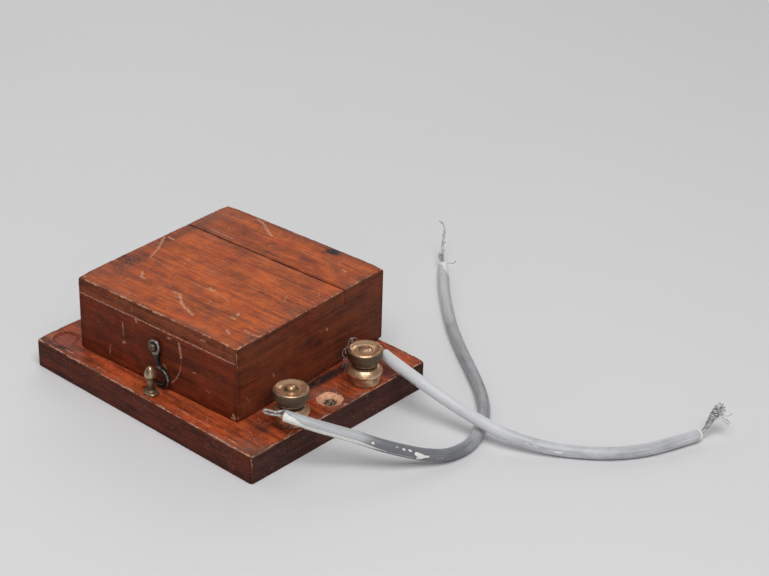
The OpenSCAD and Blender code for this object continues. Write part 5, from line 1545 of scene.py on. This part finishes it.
class BUZZER_OT_cover(bpy.types.Operator):
    """Makes the cover's worn walls and top boards"""

    bl_idname = "buzzer.cover"
    bl_label = "Cover"

    def execute(self, context):
        case, colours = context.scene.buzzer.case, context.scene.buzzer.timber
        place, turn = cover_frame(case), -case.cover_turn
        half, height = (case.cover_width / 2, case.cover_depth / 2), case.cover_height
        wall_top, seam = height - case.top, half[1] - case.seam
        # Edge, wall and cheek finishes are darker copies of the top's: painted shade on the upright faces.
        top = timber("top_mahogany", colours, "top", turn, 0.65, 0.55)
        wall = timber("wall_mahogany", colours, "wall", turn, 0.1, 0.35)
        cheek = timber("cheek_mahogany", colours, "cheek", turn + math.pi / 2, 0.1, 0.4)
        edge = timber("edge_mahogany", colours, "edge", turn, 0.45, 0.35)
        skin_z, skin_y, skin_x = (size / MM - COVER_SKIN for size in (height, half[1], half[0]))
        views = [
            (lambda p: p[:, 2] > skin_z, (0, 1), TOP_SCRATCHES, TOP_STAINS, TOP_HAZE),
            (lambda p: (p[:, 1] < -skin_y) & (p[:, 2] <= skin_z), (0, 2), FRONT_SCRATCHES, FRONT_STAINS, []),
            (lambda p: (p[:, 0] > skin_x) & (p[:, 2] <= skin_z), (1, 2), RIGHT_SCRATCHES, RIGHT_STAINS, []),
        ]
        for node, front, back in (("top_board_front", -half[1], seam - case.seam_gap),
                                  ("top_board_rear", seam, half[1])):
            points, faces = lattice(grid_lines(-half[0], half[0], TOP_CELL),
                                    grid_lines(front, back, TOP_CELL),
                                    grid_lines(wall_top, height, BASE_CELL))
            worn = []
            for spot in points:
                wide = edge_width(spot, half, case.arris, case.chip, 8)
                moved = wear_point(spot, half, COVER_CORNER, wall_top, height, JOINT_EDGE, wide)
                near = SEAM_EASE - min(abs(spot.y - seam), abs(spot.y - seam + case.seam_gap))
                if near > 0 and spot.z == height:
                    moved.z -= 0.5 * near * (1 + 0.8 * wander(spot / MM, 9, 0.5))
                worn.append(place @ moved)
            mesh = shape(node, worn, faces)
            face_finishes(mesh, place, top, edge, cheek)
            paint_board(mesh, place.inverted(), half, 0.0, height, views)
            piece(f"{node}_board", "cover", None, mesh, node, "mahogany_top", smooth=0)

        def worn_wall(spot):
            wide = edge_width(spot, half, 0.8 * case.arris, case.chip, 12)
            return wear_point(spot, half, COVER_CORNER, 0.0, wall_top, wide, JOINT_EDGE)

        for quarter, (node, finish) in enumerate((("cover_front", wall), ("cover_right", cheek),
                                                  ("cover_back", wall), ("cover_left", cheek))):
            long, deep = half[::-1] if quarter % 2 else half
            room = CUT_ROOM if node == "cover_back" else 0.0
            layers = [room + i * (case.wall - 2 * room) / WALL_LAYERS for i in range(WALL_LAYERS + 1)]
            points, faces = lattice(grid_lines(room - long, long - room, WALL_CELL), layers,
                                    grid_lines(room, wall_top - room, WALL_CELL))
            spin = Matrix.Rotation(math.pi / 2 * quarter, 4, "Z")
            worn = [place @ worn_wall(spin @ Vector((p.x * (long - p.y) / long, p.y - deep, p.z)))
                    for p in points]
            mesh = cut_to_solid(node, worn, faces) if room else shape(node, worn, faces)
            paint_board(mesh, place.inverted(), half, 0.0, height, views)
            piece(f"{node}_board", "cover", finish, mesh, node, "mahogany_wall", smooth=0)
        return {"FINISHED"}


class BUZZER_OT_hinges(bpy.types.Operator):
    """Dresses the two butt hinges behind the cover"""

    bl_idname = "buzzer.hinges"
    bl_label = "Hinges"

    def execute(self, context):
        leaf = brass("leaf_brass", context.scene.buzzer.metal, polish=0.6, tone=0.9)
        steel = plain("bright_steel")
        for side in ("left", "right"):
            dress(f"{side}_hinge_base_leaf", "base", leaf, 0.1, "hinge_brass")
            dress(f"{side}_hinge_cover_leaf", "cover", leaf, 0.1, "hinge_brass")
            dress(f"{side}_hinge_pin", "base", steel, 0.15, "screw_steel")
        dress("hinge_base_screws", "base", steel, 0.05, "screw_steel")
        dress("hinge_cover_screws", "cover", steel, 0.05, "screw_steel")
        return {"FINISHED"}


class BUZZER_OT_hook(bpy.types.Operator):
    """Makes the forged hook and its round-headed screw"""

    bl_idname = "buzzer.hook"
    bl_label = "Hook"

    def execute(self, context):
        given = context.scene.buzzer
        place = (cover_frame(given.case) @ Matrix.Translation(HOOK_PLACE * MM)
                 @ Matrix.Rotation(math.pi / 2, 4, "X"))
        mesh = self.forged()
        x, y, z = vertex_array(mesh).T / MM
        # Rubbed edges, with painted highlights round the bow's outer curve and on the eye's rim.
        edge = np.abs(z - HOOK_MIDDLE) / 0.85
        outer = np.hypot(x - BOW_X, y - BOW_Y)
        rub = (0.3 * np.exp(-((edge - 0.8) / 0.25) ** 2) + 0.45 * np.exp(-((outer - 4.2) / 0.5) ** 2)
               + 0.55 * np.exp(-((np.hypot(x, y) - 2.5) / 0.45) ** 2))
        mesh.transform(place)
        piece("hook_forged", "hook", blackened_iron("forge_black", given.metal), mesh, "hook",
              "blackened_iron", smooth=80, rub=np.clip(rub, 0, 1))
        points, faces, _ = turned(profile(*HOOK_SCREW), Vector(), 40)
        slit = shape("hook_screw_slot", *lattice(*([end * MM for end in reach] for reach in SCREW_SLOT)))
        slit.transform(Matrix.Rotation(SCREW_SLOT_TURN, 4, "Z"))
        mesh = carved(linked("hook_screw_blank", shape("hook_screw_blank", points, faces)),
                      linked("hook_screw_slot", slit), "DIFFERENCE")
        polish = np.where(vertex_array(mesh)[:, 2] > HEAD_BRIGHT * MM, 0.5, 0.2)
        mesh.transform(place)
        piece("hook_screw_head", "cover", brass("screw_brass", given.metal, "catch", tone=0.7), mesh,
              "hook_screw", "screw_steel", polish=polish)
        return {"FINISHED"}

    def forged(self):
        """The hook's bar and eye run together, in its own frame."""
        angles = [math.radians(a) for a in range(75, -81, -11)]
        bow = [(BOW_X + BOW_RADIUS * math.cos(a), BOW_Y + BOW_RADIUS * math.sin(a)) for a in angles]
        route = smooth_route(metres((*p, HOOK_MIDDLE) for p in HOOK_SHANK + bow + HOOK_LIP), HOOK_STEP)
        shares = [k / (len(route) - 1) for k in range(len(route))]
        widths = [np.interp(share, HOOK_SHARES, HOOK_WIDTHS) * MM for share in shares]
        thick = [(1.6 - 0.5 * max(0.0, (share - 0.82) / 0.18)) * MM for share in shares]
        points, faces = swept_bar(route, widths, thick)
        eye, eye_faces, _ = turned(profile(*HOOK_EYE), Vector(), 48, ring=True)
        faces += [[i + len(points) for i in face] for face in eye_faces]
        blank = linked("hook_blank", shape("hook_blank", points + eye, faces))
        work = bmesh.new()
        work.from_mesh(blank.data)
        bmesh.ops.recalc_face_normals(work, faces=work.faces)
        work.to_mesh(blank.data)
        work.free()
        whole = blank.modifiers.new("forged", "REMESH")
        whole.mode, whole.voxel_size = "VOXEL", HOOK_VOXEL
        ease = blank.modifiers.new("eased", "SMOOTH")
        ease.iterations, ease.factor = 6, 0.5
        return applied(blank)


class BUZZER_OT_catch_post(bpy.types.Operator):
    """Makes the turned brass catch on the baseboard"""

    bl_idname = "buzzer.catch_post"
    bl_label = "Catch post"

    def execute(self, context):
        case = context.scene.buzzer.case
        middle = cover_frame(case) @ (CATCH_PLACE * MM)
        middle.z = case.base_thick
        points, faces, polish_and_highlight = turned(profile(*CATCH), middle, 56)
        turn = Matrix.Rotation(case.cover_turn, 3, "Z")
        outline = [Vector((CATCH_PLATE[0] * fuller(c, 0.62), CATCH_PLATE[1] * fuller(s, 0.62), 0))
                   for c, s in circle(48)]
        rows = rows_of(len(PLATE_ROWS), len(outline), len(points))
        for inset, height, polish in PLATE_ROWS:
            for p in outline:
                at = p * (1 - inset / p.length)
                lift = 0.05 * wander(at, 6, 0.8) if height > 0.1 else 0.0
                points.append(middle + turn @ ((at + Vector((0, 0, height + lift))) * MM))
                polish_and_highlight.append(polish)
        faces += skin(rows) + [rows[0][::-1], rows[-1]]
        piece("catch_post_turned", "base", brass("catch_brass", context.scene.buzzer.metal, "catch"),
              shape("catch_post", points, faces), "catch_post", "pale_brass", smooth=50, polish=polish_and_highlight)
        return {"FINISHED"}


class BUZZER_OT_terminals(bpy.types.Operator):
    """Makes the two turned brass terminals"""

    bl_idname = "buzzer.terminals"
    bl_label = "Terminals"

    def execute(self, context):
        metal = context.scene.buzzer.metal
        finish = brass("turned_brass", metal)
        for side in ("front", "rear"):
            middle = MOUNTS[f"{side}_terminal"] * MM
            middle.z = 0
            for node, body, rows in ((f"{side}_terminal_collar", "base", COLLAR),
                                     (f"{side}_clamp_washer", f"{side}_clamp", WASHER),
                                     (f"{side}_thumb_nut", f"{side}_nut", NUT),
                                     (f"{side}_terminal_stud", "base", None)):
                if rows:
                    rows = eased(rows + rows[:1], BRASS_EASE, 2)[1:]
                    points, faces, polish_and_highlight = turned(profile(*rows), middle, ring=True)
                else:
                    points, faces, polish_and_highlight = turned(profile(*STUD_FOOT, *STUD_TIPS[side]), middle, 48)
                piece(f"{node}_turned", body, finish, shape(node, points, faces), node, "terminal_brass",
                      smooth=50, polish=polish_and_highlight)
        for node in ("stud_washers", "stud_nuts"):
            dress(node, "base", brass("lacquered_brass", metal, polish=0.75), 0.12, "works_brass")
        return {"FINISHED"}


class BUZZER_OT_works(bpy.types.Operator):
    """Dresses the trembler works under the cover"""

    bl_idname = "buzzer.works"
    bl_label = "Works"

    def execute(self, context):
        gold = brass("lacquered_brass", context.scene.buzzer.metal, polish=0.75)
        for body, name, bevel, slot, nodes in WORKS:
            for node in nodes:
                dress(node, body, plain(name) if name else gold, bevel, slot)
        self.coils(plain("green_silk"))
        cotton = plain("red_cotton")
        for node, route in COTTON_ROUTES.items():
            for side, sign in (("front", -1), ("rear", 1)):
                if node == f"{side}_feed_wire":
                    angles = [sign * a for a in LOOP_DEGREES]
                    route = round_stud(side, LOOP_RADIUS, LOOP_HEIGHT, angles) + route
            mesh = wires(node, [(metres(route), 1.0)], COTTON_RADIUS, cotton, COTTON_BEND, 14)
            piece(f"{node}_covered", "base", cotton, mesh, node, "cotton_wire", smooth=60)
        return {"FINISHED"}

    def coils(self, silk):
        """Real turns of silk-covered wire on both bobbins."""
        for side in ("left", "right"):
            low, high, centre = node_box(f"{side}_winding")
            radius, long = (high.x - low.x) / 2, high.y - low.y - 2 * COIL_WIRE
            outer = radius - 1.6 * COIL_WIRE
            rows = [(COIL_BORE, low.y, 0), (outer, low.y, 0), (outer, high.y, 0), (COIL_BORE, high.y, 0)]
            points, faces, _ = turned(rows, Vector(), 48, ring=True)
            points = [(p.x + centre.x, p.z, centre.z - p.y) for p in points]
            drum = linked(f"{side}_winding_drum", shape(f"{side}_winding_drum", points, faces))
            mesh = grown(drum, "Coil winding", Turns=long / (2 * COIL_WIRE), Radius=radius - COIL_WIRE,
                         Length=long, Wire=COIL_WIRE, Material=silk,
                         Middle=(centre.x, low.y + COIL_WIRE, centre.z))
            piece(f"{side}_winding_turns", "base", silk, mesh, f"{side}_winding", "silk_wire", smooth=60)


class BUZZER_OT_stage(bpy.types.Operator):
    """Makes the plain floor and the soft studio light"""

    bl_idname = "buzzer.stage"
    bl_label = "Stage"

    def execute(self, context):
        given = context.scene.buzzer.stage
        ring = [(FLOOR_RADIUS * c, FLOOR_RADIUS * s, 0) for c, s in circle(48)]
        mesh = shape("floor", ring, [range(48)])
        mesh.materials.append(floor_paint("floor_paint", linear(given.floor)))
        linked("floor", mesh)
        for name, setting, spot, aim, wide in LIGHTS:
            lamp = bpy.data.lights.new(name, "AREA")
            lamp.shape, lamp.size, lamp.energy = "SQUARE", wide, getattr(given, setting)
            back = Vector(spot) - Vector(aim)
            turn = back.to_track_quat("Z", "Y").to_matrix().to_4x4()
            linked(name, lamp).matrix_world = Matrix.Translation(spot) @ turn
        world = bpy.data.worlds.new("studio")
        world.use_nodes = True
        sky = world.node_tree.nodes["Background"].inputs
        sky["Color"].default_value = (1, 1, 1, 1)
        sky["Strength"].default_value = given.sky
        context.scene.world = world
        return {"FINISHED"}


OPERATORS = (BUZZER_OT_camera, BUZZER_OT_leads, BUZZER_OT_baseboard, BUZZER_OT_cover, BUZZER_OT_hinges,
             BUZZER_OT_hook, BUZZER_OT_catch_post, BUZZER_OT_terminals, BUZZER_OT_works, BUZZER_OT_stage)


class BUZZER_PT_panel(bpy.types.Panel):
    """Lists the steps that dress the buzzer"""

    bl_idname = "BUZZER_PT_panel"
    bl_label = "Testing Buzzer"
    bl_space_type = "VIEW_3D"
    bl_region_type = "UI"
    bl_category = "Buzzer"

    def draw(self, context):
        for step in OPERATORS:
            self.layout.operator(step.bl_idname)


CLASSES = (BuzzerCamera, BuzzerCase, BuzzerTimber, BuzzerMetal, BuzzerLeads, BuzzerStage, BuzzerSettings,
           *OPERATORS, BUZZER_PT_panel)


def register():
    for kind in CLASSES:
        bpy.utils.register_class(kind)
    bpy.types.Scene.buzzer = PointerProperty(type=BuzzerSettings)


def unregister():
    del bpy.types.Scene.buzzer
    for kind in reversed(CLASSES):
        bpy.utils.unregister_class(kind)


def main():
    register()
    for step in OPERATORS:
        family, name = step.bl_idname.split(".")
        getattr(getattr(bpy.ops, family), name)()


if __name__ == "__main__":
    main()
